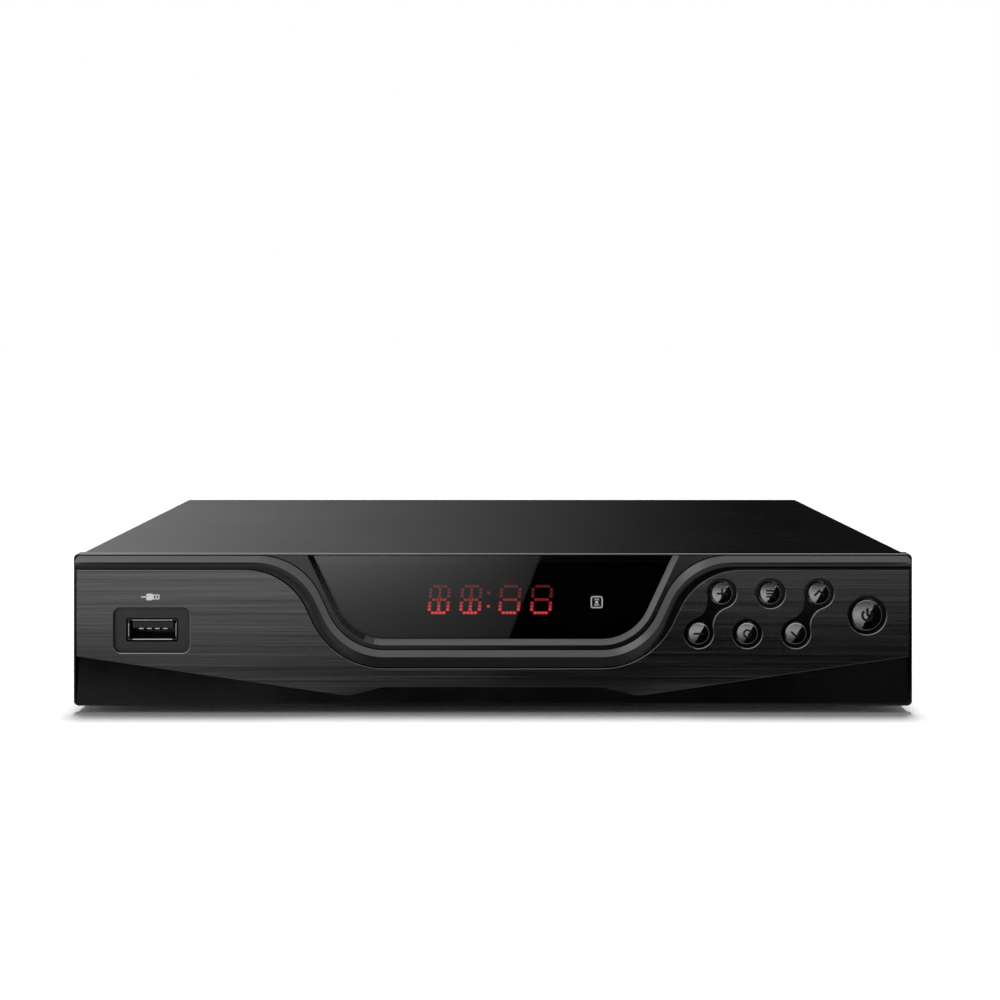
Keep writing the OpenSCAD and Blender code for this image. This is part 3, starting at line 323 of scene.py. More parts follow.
def rounded_edges(piece: bpy.types.Object, width: float, segments: int = 2,
                  angle: float = 30.0, held: bool = True) -> bpy.types.Object:
    """Rounds the edges of a piece from that angle in degrees on, by a width in millimetres.

    The width is held back where edges are short, unless held is False.
    """
    bevel = piece.modifiers.new("rounded edges", "BEVEL")
    bevel.width = width * MM
    bevel.segments = segments
    bevel.limit_method = "ANGLE"
    bevel.angle_limit = math.radians(angle)
    bevel.miter_outer = "MITER_ARC"
    bevel.use_clamp_overlap = held
    settled(piece)
    return evened(piece, angle + 8)


def evened(piece: bpy.types.Object, crease: float) -> bpy.types.Object:
    """Shades a piece so that large faces look flat and only the roundings turn."""
    creased(piece.data, crease)
    weights = piece.modifiers.new("even shading", "WEIGHTED_NORMAL")
    weights.weight = 100
    weights.keep_sharp = True
    return settled(piece)


def carried(node: str, finish: "Finish", edge: float = 0.0, crease: float = 28.0,
            held: bool = True) -> bpy.types.Object:
    """Copy of a node of the model with merged points, in its place, which stands for it.

    Its edges are rounded by the width edge in millimetres, if there is one.
    """
    source = frame["nodes"][node]
    bm = bmesh.new()
    bm.from_mesh(source.data)
    bmesh.ops.remove_doubles(bm, verts=bm.verts, dist=1e-6)
    if edge:
        bmesh.ops.dissolve_degenerate(bm, dist=1e-5, edges=bm.edges)
        bmesh.ops.dissolve_limit(bm, angle_limit=math.radians(0.6), verts=bm.verts,
                                 edges=bm.edges)
    mesh = bpy.data.meshes.new(node + "_shape")
    bm.to_mesh(mesh)
    bm.free()
    mesh.materials.clear()
    mesh.materials.append(finish.material())
    piece = linked(node + "_dressed", mesh, crease)
    if edge:
        rounded_edges(piece, edge, angle=crease, held=held)
    return standing_for(piece, node)


def standing_for(piece: bpy.types.Object, *nodes: str) -> bpy.types.Object:
    """Lets a piece stand for nodes of the model and ride with the body of the first."""
    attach(piece, frame["nodes"][nodes[0]]["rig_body"])
    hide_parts(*nodes)
    LOG.info("%s: %d faces, stands for %s", piece.name, len(piece.data.polygons),
             ", ".join(nodes))
    return piece


def fixed(piece: bpy.types.Object, body: str = "root") -> bpy.types.Object:
    """Fixes an added piece to a body and reports it."""
    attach(piece, body)
    LOG.info("%s: %d faces, added to %s", piece.name, len(piece.data.polygons), body)
    return piece


# ------------------------------------------------------------------ shader building

Term = "Wire | float"


def operator(operation: str, turned: bool = False) -> Callable[["Wire", Term], "Wire"]:
    """Method that joins a shader value and another one by a Math node, turned round or not."""
    def join(self: "Wire", other: Term) -> "Wire":
        """Adds the Math node and returns its value."""
        first, second = (other, self) if turned else (self, other)
        return self.graph.make("ShaderNodeMath", {"operation": operation},
                               {0: first, 1: second})
    return join


class Wire:
    """A shader value that joins in arithmetic."""

    def __init__(self, graph: "Graph", socket: bpy.types.NodeSocket) -> None:
        """Wraps an output socket of the graph's nodes."""
        self.graph = graph
        self.socket = socket

    __add__ = operator("ADD")
    __radd__ = operator("ADD", True)
    __sub__ = operator("SUBTRACT")
    __rsub__ = operator("SUBTRACT", True)
    __mul__ = operator("MULTIPLY")
    __rmul__ = operator("MULTIPLY", True)
    __pow__ = operator("POWER")

    def between(self, low: float, high: float, start: float = 0.0, end: float = 1.0) -> "Wire":
        """Smooth step from start at low to end at high."""
        settings = {"interpolation_type": "SMOOTHSTEP"}
        values = {0: self, 1: low, 2: high, 3: start, 4: end}
        return self.graph.make("ShaderNodeMapRange", settings, values)

    def capped(self) -> "Wire":
        """The value held between 0 and 1."""
        return self.graph.make("ShaderNodeClamp", {}, {0: self, 1: 0.0, 2: 1.0})


class Nodes:
    """A node tree, with one way to add a node and to feed it."""

    tree: bpy.types.NodeTree

    def add(self, kind: str, settings: Mapping[str, object],
            inputs: Mapping[int | str, object]) -> bpy.types.Node:
        """Adds a node with its properties and with values or links of its sockets."""
        node = self.tree.nodes.new(kind)
        for key, value in settings.items():
            setattr(node, key, value)
        for key, value in inputs.items():
            self.feed(node.inputs[key], value)
        return node

    def feed(self, socket: bpy.types.NodeSocket, value: object) -> None:
        """Sets or links an input socket."""
        if isinstance(value, Wire):
            value = value.socket
        if isinstance(value, bpy.types.NodeSocket):
            self.tree.links.new(value, socket)
        elif isinstance(value, tuple) and socket.type == "RGBA" and len(value) == 3:
            socket.default_value = (*value, 1.0)
        else:
            socket.default_value = value


class Graph(Nodes):
    """Nodes of one material."""

    def __init__(self, name: str, world: bool = False) -> None:
        """Starts a material, or a world."""
        self.material = (bpy.data.worlds if world else bpy.data.materials).new(name)
        self.material.use_nodes = True
        self.tree = self.material.node_tree
        self.tree.nodes.clear()
        self.end = self.tree.nodes.new(
            "ShaderNodeOutputWorld" if world else "ShaderNodeOutputMaterial")

    def make(self, kind: str, settings: Mapping[str, object],
             inputs: Mapping[int | str, object], output: int | str = 0) -> Wire:
        """Adds a node and returns one of its outputs."""
        return Wire(self, self.add(kind, settings, inputs).outputs[output])

    def places(self, stretch: tuple[float, float, float] = (1.0, 1.0, 1.0)) -> Wire:
        """Object coordinates in metres, stretched along each axis."""
        spot = self.make("ShaderNodeTexCoord", {}, {}, "Object")
        return self.make("ShaderNodeVectorMath", {"operation": "MULTIPLY"}, {0: spot, 1: stretch})

    def axis(self, index: int) -> Wire:
        """One of the Object coordinates, in metres."""
        spot = self.make("ShaderNodeTexCoord", {}, {}, "Object")
        return self.make("ShaderNodeSeparateXYZ", {}, {0: spot}, index)

    def noise(self, stretch: tuple[float, float, float], detail: float = 2.0,
              roughness: float = 0.5) -> Wire:
        """Noise whose grains per metre are given along each axis."""
        return self.make("ShaderNodeTexNoise", {}, {
            "Vector": self.places(stretch), "Scale": 1.0, "Detail": detail,
            "Roughness": roughness})

    def blend(self, first: object, second: object, factor: object, mode: str = "MIX") -> Wire:
        """Mixes two colours."""
        return self.make("ShaderNodeMix", {"data_type": "RGBA", "blend_type": mode},
                         {0: factor, 6: first, 7: second}, 2)

    def tinted(self, colour: Colour, amount: Wire) -> Wire:
        """Colour times a value that varies about 1."""
        grey = self.make("ShaderNodeCombineColor", {}, {0: amount, 1: amount, 2: amount})
        return self.blend(colour, grey, 1.0, "MULTIPLY")

    def bump(self, height: Wire, distance: float, strength: float = 1.0) -> Wire:
        """Normal bent by a height in units of that distance, in metres."""
        return self.make("ShaderNodeBump", {}, {
            "Height": height, "Distance": distance, "Strength": strength})

    def surface(self, **sockets: object) -> None:
        """Ends the material in a Principled shader, whose sockets have _ for a space here."""
        inputs = {key.replace("_", " "): value for key, value in sockets.items()}
        shader = self.make("ShaderNodeBsdfPrincipled", {}, inputs)
        self.feed(self.end.inputs["Surface"], shader)


# ------------------------------------------------------------------ finishes


class Grain(Enum):
    """How the surface of a moulded part was made: grains per metre and depth in metres."""

    POLISHED = (180.0, 0.00001)
    FINE = (2600.0, 0.000012)
    SPARKED = (1500.0, 0.00003)
    SOFT = (900.0, 0.00004)


# Grains per metre along X, Y and Z of brush or rolling marks, which run along X.
ALONG_X = (11.0, 1600.0, 1600.0)


@dataclass(frozen=True)
class Finish:
    """What all finishes have: a name, a colour and a roughness."""

    name: str
    colour: Colour
    rough: float

    def material(self) -> bpy.types.Material:
        """The material, made once, under a name of its own beside the model's plain ones."""
        label = self.name + "_finish"
        made = bpy.data.materials.get(label)
        if made is None:
            graph = Graph(label)
            self.dress(graph)
            made = graph.material
        return made

    def dress(self, graph: Graph) -> None:
        """Builds the nodes."""
        raise NotImplementedError


@dataclass(frozen=True)
class Moulding(Finish):
    """Moulded plastic or rubber with a grain, whose colour and roughness vary a little at random.
    """

    grain: Grain = Grain.FINE
    coat: float = 0.0
    variety: float = 0.08

    def dress(self, graph: Graph) -> None:
        """Builds the nodes."""
        scale, depth = self.grain.value
        cloud = graph.noise((38.0, 38.0, 38.0), 4.0)
        grit = graph.noise((scale, scale, scale), 3.0, 0.6)
        graph.surface(
            Base_Color=graph.tinted(self.colour, 1.0 + (cloud - 0.5) * (2 * self.variety)),
            Roughness=(self.rough + (cloud - 0.5) * 0.16 + (grit - 0.5) * 0.06).capped(),
            Normal=graph.bump(grit, depth),
            Coat_Weight=self.coat, Coat_Roughness=0.04)


@dataclass(frozen=True)
class PowderCoat(Finish):
    """Baked powder paint on sheet steel: fine orange peel, specks and slightly rubbed zones."""

    def dress(self, graph: Graph) -> None:
        """Builds the nodes."""
        peel = graph.noise((1700.0, 1700.0, 1700.0), 2.0, 0.55)
        speck = graph.noise((5200.0, 5200.0, 5200.0), 1.0)
        rubbed = graph.noise((14.0, 9.0, 14.0), 5.0, 0.6)
        shade = 1.0 + (speck - 0.5) * 0.5 + (rubbed - 0.5) * 0.3
        graph.surface(
            Base_Color=graph.tinted(self.colour, shade),
            Roughness=(self.rough + (rubbed - 0.5) * 0.14 + (speck - 0.5) * 0.1).capped(),
            Normal=graph.bump(peel, 0.00002))


@dataclass(frozen=True)
class BrushedMetal(Finish):
    """Dyed metal with long brush marks of changing length and depth."""

    contrast: float = 1.6
    depth: float = 0.000006

    def dress(self, graph: Graph) -> None:
        """Builds the nodes."""
        fine = graph.noise(tuple(2.0 * v for v in ALONG_X), 2.0, 0.6)
        broad = graph.noise(tuple(0.7 * v for v in ALONG_X), 2.0, 0.5)
        marks = (fine - 0.5) * 1.4 + (broad - 0.5)
        graph.surface(
            Base_Color=graph.tinted(self.colour, (1.0 + marks * self.contrast)),
            Metallic=1.0,
            Roughness=(self.rough + marks * 0.12).capped(),
            Normal=graph.bump(marks, self.depth))


@dataclass(frozen=True)
class SatinMetal(Finish):
    """Satin or plated metal with faint clouding and fine scratches."""

    metallic: float = 1.0
    clouding: float = 0.06
    depth: float = 0.000004

    def dress(self, graph: Graph) -> None:
        """Builds the nodes."""
        cloud = graph.noise((60.0, 60.0, 60.0), 5.0, 0.6)
        fine = graph.noise((2400.0, 2400.0, 2400.0), 2.0)
        graph.surface(
            Base_Color=graph.tinted(self.colour, 1.0 + (cloud - 0.5) * (2 * self.clouding)),
            Metallic=self.metallic,
            Roughness=(self.rough + (cloud - 0.5) * 0.14 + (fine - 0.5) * 0.05).capped(),
            Normal=graph.bump(fine, self.depth))


@dataclass(frozen=True)
class ZincSheet(Finish):
    """Zinc-plated sheet steel: patches of spangle, rolling marks and a dulled film."""

    def dress(self, graph: Graph) -> None:
        """Builds the nodes."""
        crystals = graph.make("ShaderNodeTexVoronoi", {"feature": "F1"}, {
            "Vector": graph.places((230.0, 230.0, 230.0)), "Scale": 1.0}, "Color")
        patch = graph.make("ShaderNodeSeparateColor", {}, {0: crystals}, 0)
        film = graph.noise((24.0, 24.0, 24.0), 6.0, 0.65)
        rolled = graph.noise(ALONG_X, 2.0)
        shade = 0.9 + (patch - 0.5) * 0.2 + (film - 0.5) * 0.3 + (rolled - 0.5) * 0.08
        graph.surface(
            Base_Color=graph.tinted(self.colour, shade.capped()),
            Metallic=1.0,
            Roughness=(self.rough + (patch - 0.5) * 0.1 + (film - 0.5) * 0.22).capped(),
            Normal=graph.bump(rolled, 0.000006))


@dataclass(frozen=True)
class SmokedGlass(Finish):
    """Dark gloss acrylic that lets a red light through."""

    alpha: float = 0.35
    ior: float = 2.4

    def dress(self, graph: Graph) -> None:
        """Builds the nodes."""
        wipe = graph.noise((30.0, 12.0, 60.0), 4.0, 0.6)
        graph.surface(
            Base_Color=graph.tinted(self.colour, 0.9 + wipe * 0.2),
            Roughness=(self.rough + wipe * 0.012).capped(),
            IOR=self.ior, Alpha=self.alpha,
            Normal=graph.bump(graph.noise((46.0, 46.0, 46.0), 1.0), 0.000001))


@dataclass(frozen=True)
class GlowingSegment(Finish):
    """Red light-emitting segment, dimmer towards the top of the digit."""

    low: float = 0.0250
    high: float = 0.0306
    dim: float = 0.12
    strength: float = 1.6

    def dress(self, graph: Graph) -> None:
        """Builds the nodes."""
        rise = graph.axis(2).between(self.low, self.high)
        flicker = graph.noise((900.0, 900.0, 900.0), 1.0)
        glow = graph.blend(self.colour, tuple(c * self.dim for c in self.colour), rise)
        graph.surface(
            Base_Color=graph.tinted((0.2, 0.01, 0.01), 0.8 + flicker * 0.4),
            Roughness=self.rough, Emission_Color=glow, Emission_Strength=self.strength)


@dataclass(frozen=True)
class Laminate(Finish):
    """Circuit board: solder mask over tracks, with dots of tin."""

    track: Colour = (0.05, 0.2, 0.09)

    def dress(self, graph: Graph) -> None:
        """Builds the nodes."""
        spot = graph.places((330.0, 330.0, 330.0))
        cells = graph.make("ShaderNodeTexVoronoi", {"feature": "F1", "distance": "CHEBYCHEV"},
                           {"Vector": spot, "Scale": 0.55}, "Distance")
        tracks = graph.make("ShaderNodeMath", {"operation": "PINGPONG"}, {0: cells * 5.0, 1: 0.5})
        lines = tracks.between(0.22, 0.3)
        dots = graph.make("ShaderNodeTexVoronoi", {"feature": "F1"},
                          {"Vector": spot, "Scale": 1.0}, "Distance")
        pads = 1.0 - dots.between(0.16, 0.2)
        mask = graph.blend(self.colour, self.track, lines)
        graph.surface(
            Base_Color=graph.blend(mask, (0.62, 0.62, 0.6), pads),
            Metallic=pads,
            Roughness=(self.rough + lines * 0.1).capped(),
            Normal=graph.bump(lines, 0.00003))


@dataclass(frozen=True)
class Winding(Finish):
    """Turns of enamelled wire or tape laid side by side."""

    turns: float = 1400.0
    metallic: float = 0.0

    def dress(self, graph: Graph) -> None:
        """Builds the nodes."""
        wave = graph.make("ShaderNodeTexWave", {"wave_type": "BANDS", "bands_direction": "Z"}, {
            "Vector": graph.places(), "Scale": self.turns / 20, "Distortion": 0.4})
        graph.surface(
            Base_Color=graph.tinted(self.colour, 0.65 + wave * 0.5),
            Metallic=self.metallic,
            Roughness=(self.rough + wave * 0.1).capped(),
            Normal=graph.bump(wave, 0.0001))


@dataclass(frozen=True)
class PrintedInk(Finish):
    """Screen-printed ink, slightly uneven."""

    gloss: float = 0.5

    def dress(self, graph: Graph) -> None:
        """Builds the nodes."""
        patchy = graph.noise((1400.0, 1400.0, 1400.0), 3.0)
        graph.surface(
            Base_Color=graph.tinted(self.colour, 0.92 + patchy * 0.16),
            Roughness=(self.rough + (patchy - 0.5) * 0.2).capped(),
            Specular_IOR_Level=self.gloss,
            Normal=graph.bump(patchy, 0.000006))


GLOSS_BLACK = Moulding("gloss_black", (0.0022, 0.0022, 0.0024), 0.12, Grain.POLISHED)
FIELD_BLACK = Moulding("recess_black", (0.027, 0.027, 0.028), 0.38, Grain.FINE)
COVER_BLACK = PowderCoat("cover_powder_black", (0.0022, 0.0022, 0.0023), 0.25)
BRUSHED_BLACK = BrushedMetal("brushed_black", (0.128, 0.128, 0.131), 0.24, contrast=0.95)
SATIN_TRIM = SatinMetal("satin_trim", (0.088, 0.088, 0.09), 0.24)
BEZEL_BLACK = BrushedMetal("bezel_black", (0.07, 0.07, 0.072), 0.24, contrast=0.35)
KEY_METAL = SatinMetal("key_metal", (0.32, 0.32, 0.325), 0.13, clouding=0.04)
ENGRAVING = Moulding("engraved_black", (0.006, 0.006, 0.006), 0.5)
WINDOW = SmokedGlass("smoked_window", (0.002, 0.002, 0.002), 0.015)
SEGMENT_RED = GlowingSegment("red_segment", (0.95, 0.06, 0.075), 0.5)
DISPLAY_BLACK = Moulding("display_black", (0.004, 0.004, 0.004), 0.6)
WINDOW_PRINT = PrintedInk("window_print", (0.001, 0.001, 0.001), 0.7, gloss=0.0)
# Painted highlight: the bright finish of the rounding along the top of the front panel.
LIP_PAINTED_HIGHLIGHT = SatinMetal("polished_lip", (0.27, 0.27, 0.272), 0.2)
# Painted highlight: the bright finish of the edges of the openings that face the light.
EDGE_PAINTED_HIGHLIGHT = SatinMetal("cut_edge", (0.26, 0.26, 0.263), 0.3)
# Painted highlight: the lighter finish of the lower right of each key's rim.
KEY_RIM_PAINTED_HIGHLIGHT = Moulding("key_rim", (0.1, 0.1, 0.102), 0.35)
# Painted half-shade and painted light on the inner walls of the window strip that face the light.
BEZEL_WALL_PAINTED_HALF_SHADE = Moulding("bezel_shade", (0.09, 0.09, 0.091), 0.4)
BEZEL_WALL_PAINTED_LIGHT = Moulding("bezel_wall", (0.26, 0.26, 0.265), 0.4, Grain.FINE)
WHITE_INK = PrintedInk("white_ink", (0.95, 0.95, 0.95), 0.5)
GREY_INK = PrintedInk("grey_ink", (0.8, 0.8, 0.8), 0.5)
DARK_INK = PrintedInk("dark_ink", (0.03, 0.03, 0.032), 0.6)
ZINC = ZincSheet("zinc_steel", (0.66, 0.665, 0.68), 0.34)
# Painted shade: steel darkened to stand for the shade inside the USB socket.
STEEL_PAINTED_SHADE = SatinMetal("shaded_steel", (0.07, 0.07, 0.072), 0.4)
SOCKET_STEEL = SatinMetal("socket_steel", (0.72, 0.725, 0.735), 0.2)
NICKEL = SatinMetal("nickel_plate", (0.74, 0.72, 0.68), 0.16)
BLACK_SCREW = SatinMetal("black_screw", (0.05, 0.05, 0.053), 0.34, metallic=0.9)
RUBBER = Moulding("rubber_black", (0.016, 0.016, 0.016), 0.78, Grain.SOFT)
MATT_BLACK = Moulding("black_moulding", (0.02, 0.02, 0.021), 0.46, Grain.SPARKED)
BRIGHT_CONTACT = SatinMetal("bright_contact", (0.78, 0.77, 0.74), 0.22)
TONGUE_BLACK = Moulding("tongue_black", (0.014, 0.014, 0.015), 0.42, Grain.FINE)
ROCKER_BLACK = Moulding("rocker_plastic", (0.014, 0.014, 0.015), 0.24, Grain.POLISHED)
GOLD = SatinMetal("gold_contact", (0.86, 0.62, 0.28), 0.2)
GREEN_BOARD = Laminate("green_board", (0.012, 0.075, 0.03), 0.36)
BROWN_BOARD = Laminate("brown_board", (0.26, 0.14, 0.05), 0.5, track=(0.3, 0.17, 0.07))
BRASS = SatinMetal("brass_post", (0.68, 0.52, 0.24), 0.28)
RESIN = Moulding("chip_resin", (0.02, 0.02, 0.021), 0.55, Grain.FINE)
ANODISED = BrushedMetal("black_anodised", (0.05, 0.05, 0.052), 0.4, contrast=0.3)
SLEEVE = Moulding("can_sleeve", (0.02, 0.03, 0.09), 0.3, Grain.POLISHED)
BARE_METAL = BrushedMetal("bare_aluminium", (0.68, 0.69, 0.7), 0.36, contrast=0.15)
FERRITE = Moulding("ferrite", (0.045, 0.045, 0.05), 0.55, Grain.SPARKED)
YELLOW_TAPE = Winding("yellow_tape", (0.75, 0.55, 0.1), 0.35, turns=700.0)
COPPER = Winding("copper_wire", (0.62, 0.26, 0.1), 0.3, metallic=1.0)
CREAM = Moulding("cream_plastic", (0.72, 0.69, 0.58), 0.42, Grain.FINE)
GREY_RIBBON = Winding("grey_insulation", (0.5, 0.5, 0.49), 0.5, turns=500.0)
LEAD_BLACK = Moulding("lead_insulation", (0.03, 0.03, 0.03), 0.5, Grain.POLISHED)
DIELECTRIC = Moulding("white_dielectric", (0.8, 0.8, 0.76), 0.4, Grain.FINE)
SENSOR_DARK = Moulding("sensor_dark", (0.02, 0.004, 0.006), 0.12, Grain.POLISHED)
GREEN_LIGHT = Moulding("green_light", (0.03, 0.3, 0.08), 0.2, Grain.POLISHED)
AMBER_LIGHT = Moulding("amber_light", (0.55, 0.25, 0.03), 0.2, Grain.POLISHED)
YELLOW = Moulding("yellow_plastic", (0.8, 0.5, 0.02), 0.34, Grain.FINE)
WHITE = Moulding("white_plastic", (0.78, 0.78, 0.75), 0.34, Grain.FINE)
RED = Moulding("red_plastic", (0.55, 0.02, 0.015), 0.34, Grain.FINE)
ORANGE = Moulding("orange_plastic", (0.8, 0.16, 0.01), 0.34, Grain.FINE)


# ------------------------------------------------------------------ repeated shapes


class Tree(Nodes):
    """A Geometry Nodes tree with named inputs, which ends in plain painted mesh."""

    def __init__(self, name: str, inputs: Mapping[str, str]) -> None:
        """Starts a tree, given the kind of socket of each named input."""
        self.tree = bpy.data.node_groups.new(name, "GeometryNodeTree")
        sockets = self.tree.interface
        sockets.new_socket("Geometry", in_out="OUTPUT", socket_type="NodeSocketGeometry")
        self.keys = {}
        for label, kind in {"Geometry": "NodeSocketGeometry", **inputs,
                            "Finish": "NodeSocketMaterial"}.items():
            socket = sockets.new_socket(label, in_out="INPUT", socket_type=kind)
            self.keys[label] = socket.identifier
        self.given = self.tree.nodes.new("NodeGroupInput")

    def close(self, instances: bpy.types.NodeSocket) -> "Tree":
        """Realizes instances, paints them and ends the tree."""
        real = self.add("GeometryNodeRealizeInstances", {}, {0: instances})
        painted = self.add("GeometryNodeSetMaterial", {}, {
            "Geometry": real.outputs[0], "Material": self.given.outputs["Finish"]})
        self.add("NodeGroupOutput", {}, {0: painted.outputs[0]})
        return self

    def grow(self, name: str, mesh: bpy.types.Mesh, finish: Finish, crease: float = 32.0,
             **values: object) -> bpy.types.Object:
        """Runs the tree on a mesh with values of the named inputs, and makes a plain piece."""
        piece = linked(name, mesh, None)
        modifier = piece.modifiers.new("repeat", "NODES")
        modifier.node_group = self.tree
        for label, value in {**values, "Finish": finish.material()}.items():
            modifier[self.keys[label]] = value
        creased(settled(piece).data, crease)
        return piece


def row_tree() -> Tree:
    """Tree that repeats a shape along a straight step."""
    tree = Tree("row", {"Count": "NodeSocketInt", "Step": "NodeSocketVector"})
    line = tree.add("GeometryNodeMeshLine", {"mode": "OFFSET"}, {
        "Count": tree.given.outputs["Count"], "Offset": tree.given.outputs["Step"]})
    copies = tree.add("GeometryNodeInstanceOnPoints", {}, {
        "Points": line.outputs[0], "Instance": tree.given.outputs["Geometry"]})
    return tree.close(copies.outputs[0])


def spots_tree(axis: str, pivot: str) -> Tree:
    """Tree that sets a shape on points and turns that axis of it to each point's way."""
    tree = Tree(f"spots_{axis}_{pivot}", {"Shape": "NodeSocketObject", "Size": "NodeSocketFloat"})
    way = tree.add("GeometryNodeInputNamedAttribute", {"data_type": "FLOAT_VECTOR"},
                   {"Name": "way"})
    turn = tree.add("FunctionNodeAlignRotationToVector", {"axis": axis, "pivot_axis": pivot},
                    {"Vector": way.outputs[0]})
    shape = tree.add("GeometryNodeObjectInfo", {}, {"Object": tree.given.outputs["Shape"]})
    copies = tree.add("GeometryNodeInstanceOnPoints", {}, {
        "Points": tree.given.outputs["Geometry"], "Instance": shape.outputs["Geometry"],
        "Rotation": turn.outputs[0], "Scale": tree.given.outputs["Size"]})
    return tree.close(copies.outputs[0])


class Repeats:
    """Repeats small shapes in rows or on spots."""

    def __init__(self) -> None:
        """Builds the trees."""
        self.row = row_tree()
        self.outward = spots_tree("Z", "AUTO")
        self.level = spots_tree("X", "Y")

    def in_row(self, name: str, shape: Solid, count: int, step: Vector,
               finish: Finish) -> bpy.types.Object:
        """Repeats a shape from its own place on, by a step in millimetres."""
        first = shape.build(name + "_first")
        mesh = first.data.copy()
        bpy.data.objects.remove(first)
        return self.row.grow(name, mesh, finish, Count=count, Step=step * MM)

    def on_spots(self, name: str, shape: bpy.types.Object, spots: Sequence[tuple[Vector, Vector]],
                 finish: Finish, tree: Tree | None = None) -> bpy.types.Object:
        """Sets a shape, in metres about the origin and used up, on places, each with a way.

        Its Z is turned to the way where no other tree is given.
        """
        mesh = bpy.data.meshes.new(name)
        mesh.from_pydata([place for place, _ in spots], [], [])
        way = mesh.attributes.new("way", "FLOAT_VECTOR", "POINT")
        way.data.foreach_set("vector", [c for _, direction in spots for c in direction])
        piece = (tree or self.outward).grow(name, mesh, finish, Shape=shape, Size=1.0)
        used_up(shape)
        return piece


def cut(piece: bpy.types.Object, cutter: bpy.types.Object, crease: float = 25.0
        ) -> bpy.types.Object:
    """Cuts a shape, which is used up, out of a piece, with its paint on the cut faces."""
    boolean = piece.modifiers.new("cut", "BOOLEAN")
    boolean.operation = "DIFFERENCE"
    boolean.solver = "EXACT"
    boolean.use_self = True
    boolean.material_mode = "TRANSFER"
    boolean.object = cutter
    settled(piece)
    used_up(cutter)
    creased(piece.data, crease)
    return piece


@dataclass
class PanHead:
    """Cross-recessed pan head with a short shank."""

    radius: float = 2.09
    height: float = 1.4
    edge: float = 0.81
    shank_r: float = 1.1
    shank: float = 3.0
    slot_w: float = 0.55
    slot_depth: float = 0.8

    def shape(self, finish: Finish) -> bpy.types.Object:
        """Head about the origin, outwards along Z, in metres."""
        dome = [(self.radius * math.cos(a), self.edge + (self.height - self.edge) * math.sin(a))
                for a in (math.radians(i * 15) for i in range(6))]
        profile = [(0, -self.shank), (self.shank_r, -self.shank), (self.shank_r, 0),
                   (self.radius, 0), *dome, (0, self.height)]
        head = Solid().lathe(Facing.TOP.frame(0, 0, 0), profile, 20).build("head", finish)
        cross = Solid()
        for angle in (0, 90):
            place = Facing.TOP.frame(0, 0, 0) @ Matrix.Rotation(math.radians(angle), 4, "Z")
            cross.prism(place, rounded(self.radius * 1.25, self.slot_w, 0.12, 2),
                        self.height - self.slot_depth, self.height + 1)
        return cut(head, cross.build("cross", finish))


# Height of printed ink above and below the face that it is on, in millimetres.
SINK, PROUD = -0.01, 0.015


# ------------------------------------------------------------------ case


@dataclass
class Case:
    """Folded cover, tray with the rear wall, cover screws and feet."""

    repeats: Repeats
    fold: float = 0.16
    screw_y: tuple[float, float] = (-53.75, 58.25)
    screw_h: float = 5.7
    foot_x: float = 92.0
    foot_y: tuple[float, float] = (-59.75, 54.25)

    def build(self) -> None:
        """Builds the case."""
        carried("top_cover", COVER_BLACK, self.fold)
        carried("chassis_tray", ZINC, 0.1)
        self.cover_screws()
        self.feet()

    def cover_screws(self) -> None:
        """Screws that hold the cover to the flanges of the tray."""
        height = (LAYOUT.foot_h + self.screw_h) * MM
        spots = [(Vector((side * LAYOUT.cover_half * MM, y * MM, height)),
                  Vector((side, 0, 0))) for side in (-1, 1) for y in self.screw_y]
        head = PanHead(height=0.54, edge=0.3, slot_depth=0.36)
        screws = self.repeats.on_spots("cover_screws_dressed", head.shape(BLACK_SCREW), spots,
                                       BLACK_SCREW)
        standing_for(screws, "cover_screws")

    def feet(self) -> None:
        """Rubber feet with two grooves in the ring that they stand on."""
        profile = [(0, 0.5), (2.9, 0.5), (3.2, 0.25), (3.5, 0.05), (3.65, 0), (4.1, 0),
                   (4.2, 0.18), (4.4, 0.18), (4.5, 0), (5.0, 0), (5.1, 0.18), (5.3, 0.18),
                   (5.4, 0), (5.75, 0), (5.95, 0.08), (6.2, 0.4), (6.5, 2.4), (0, 2.4)]
        shape = Solid().lathe(Facing.TOP.frame(0, 0, 0), profile, 40).build("foot", RUBBER)
        spots = [(Vector((side * self.foot_x * MM, y * MM, 0)), Vector((0, 0, 1)))
                 for side in (-1, 1) for y in self.foot_y]
        standing_for(self.repeats.on_spots("rubber_feet_dressed", shape, spots, RUBBER),
                     "rubber_feet")


# ------------------------------------------------------------------ front panel


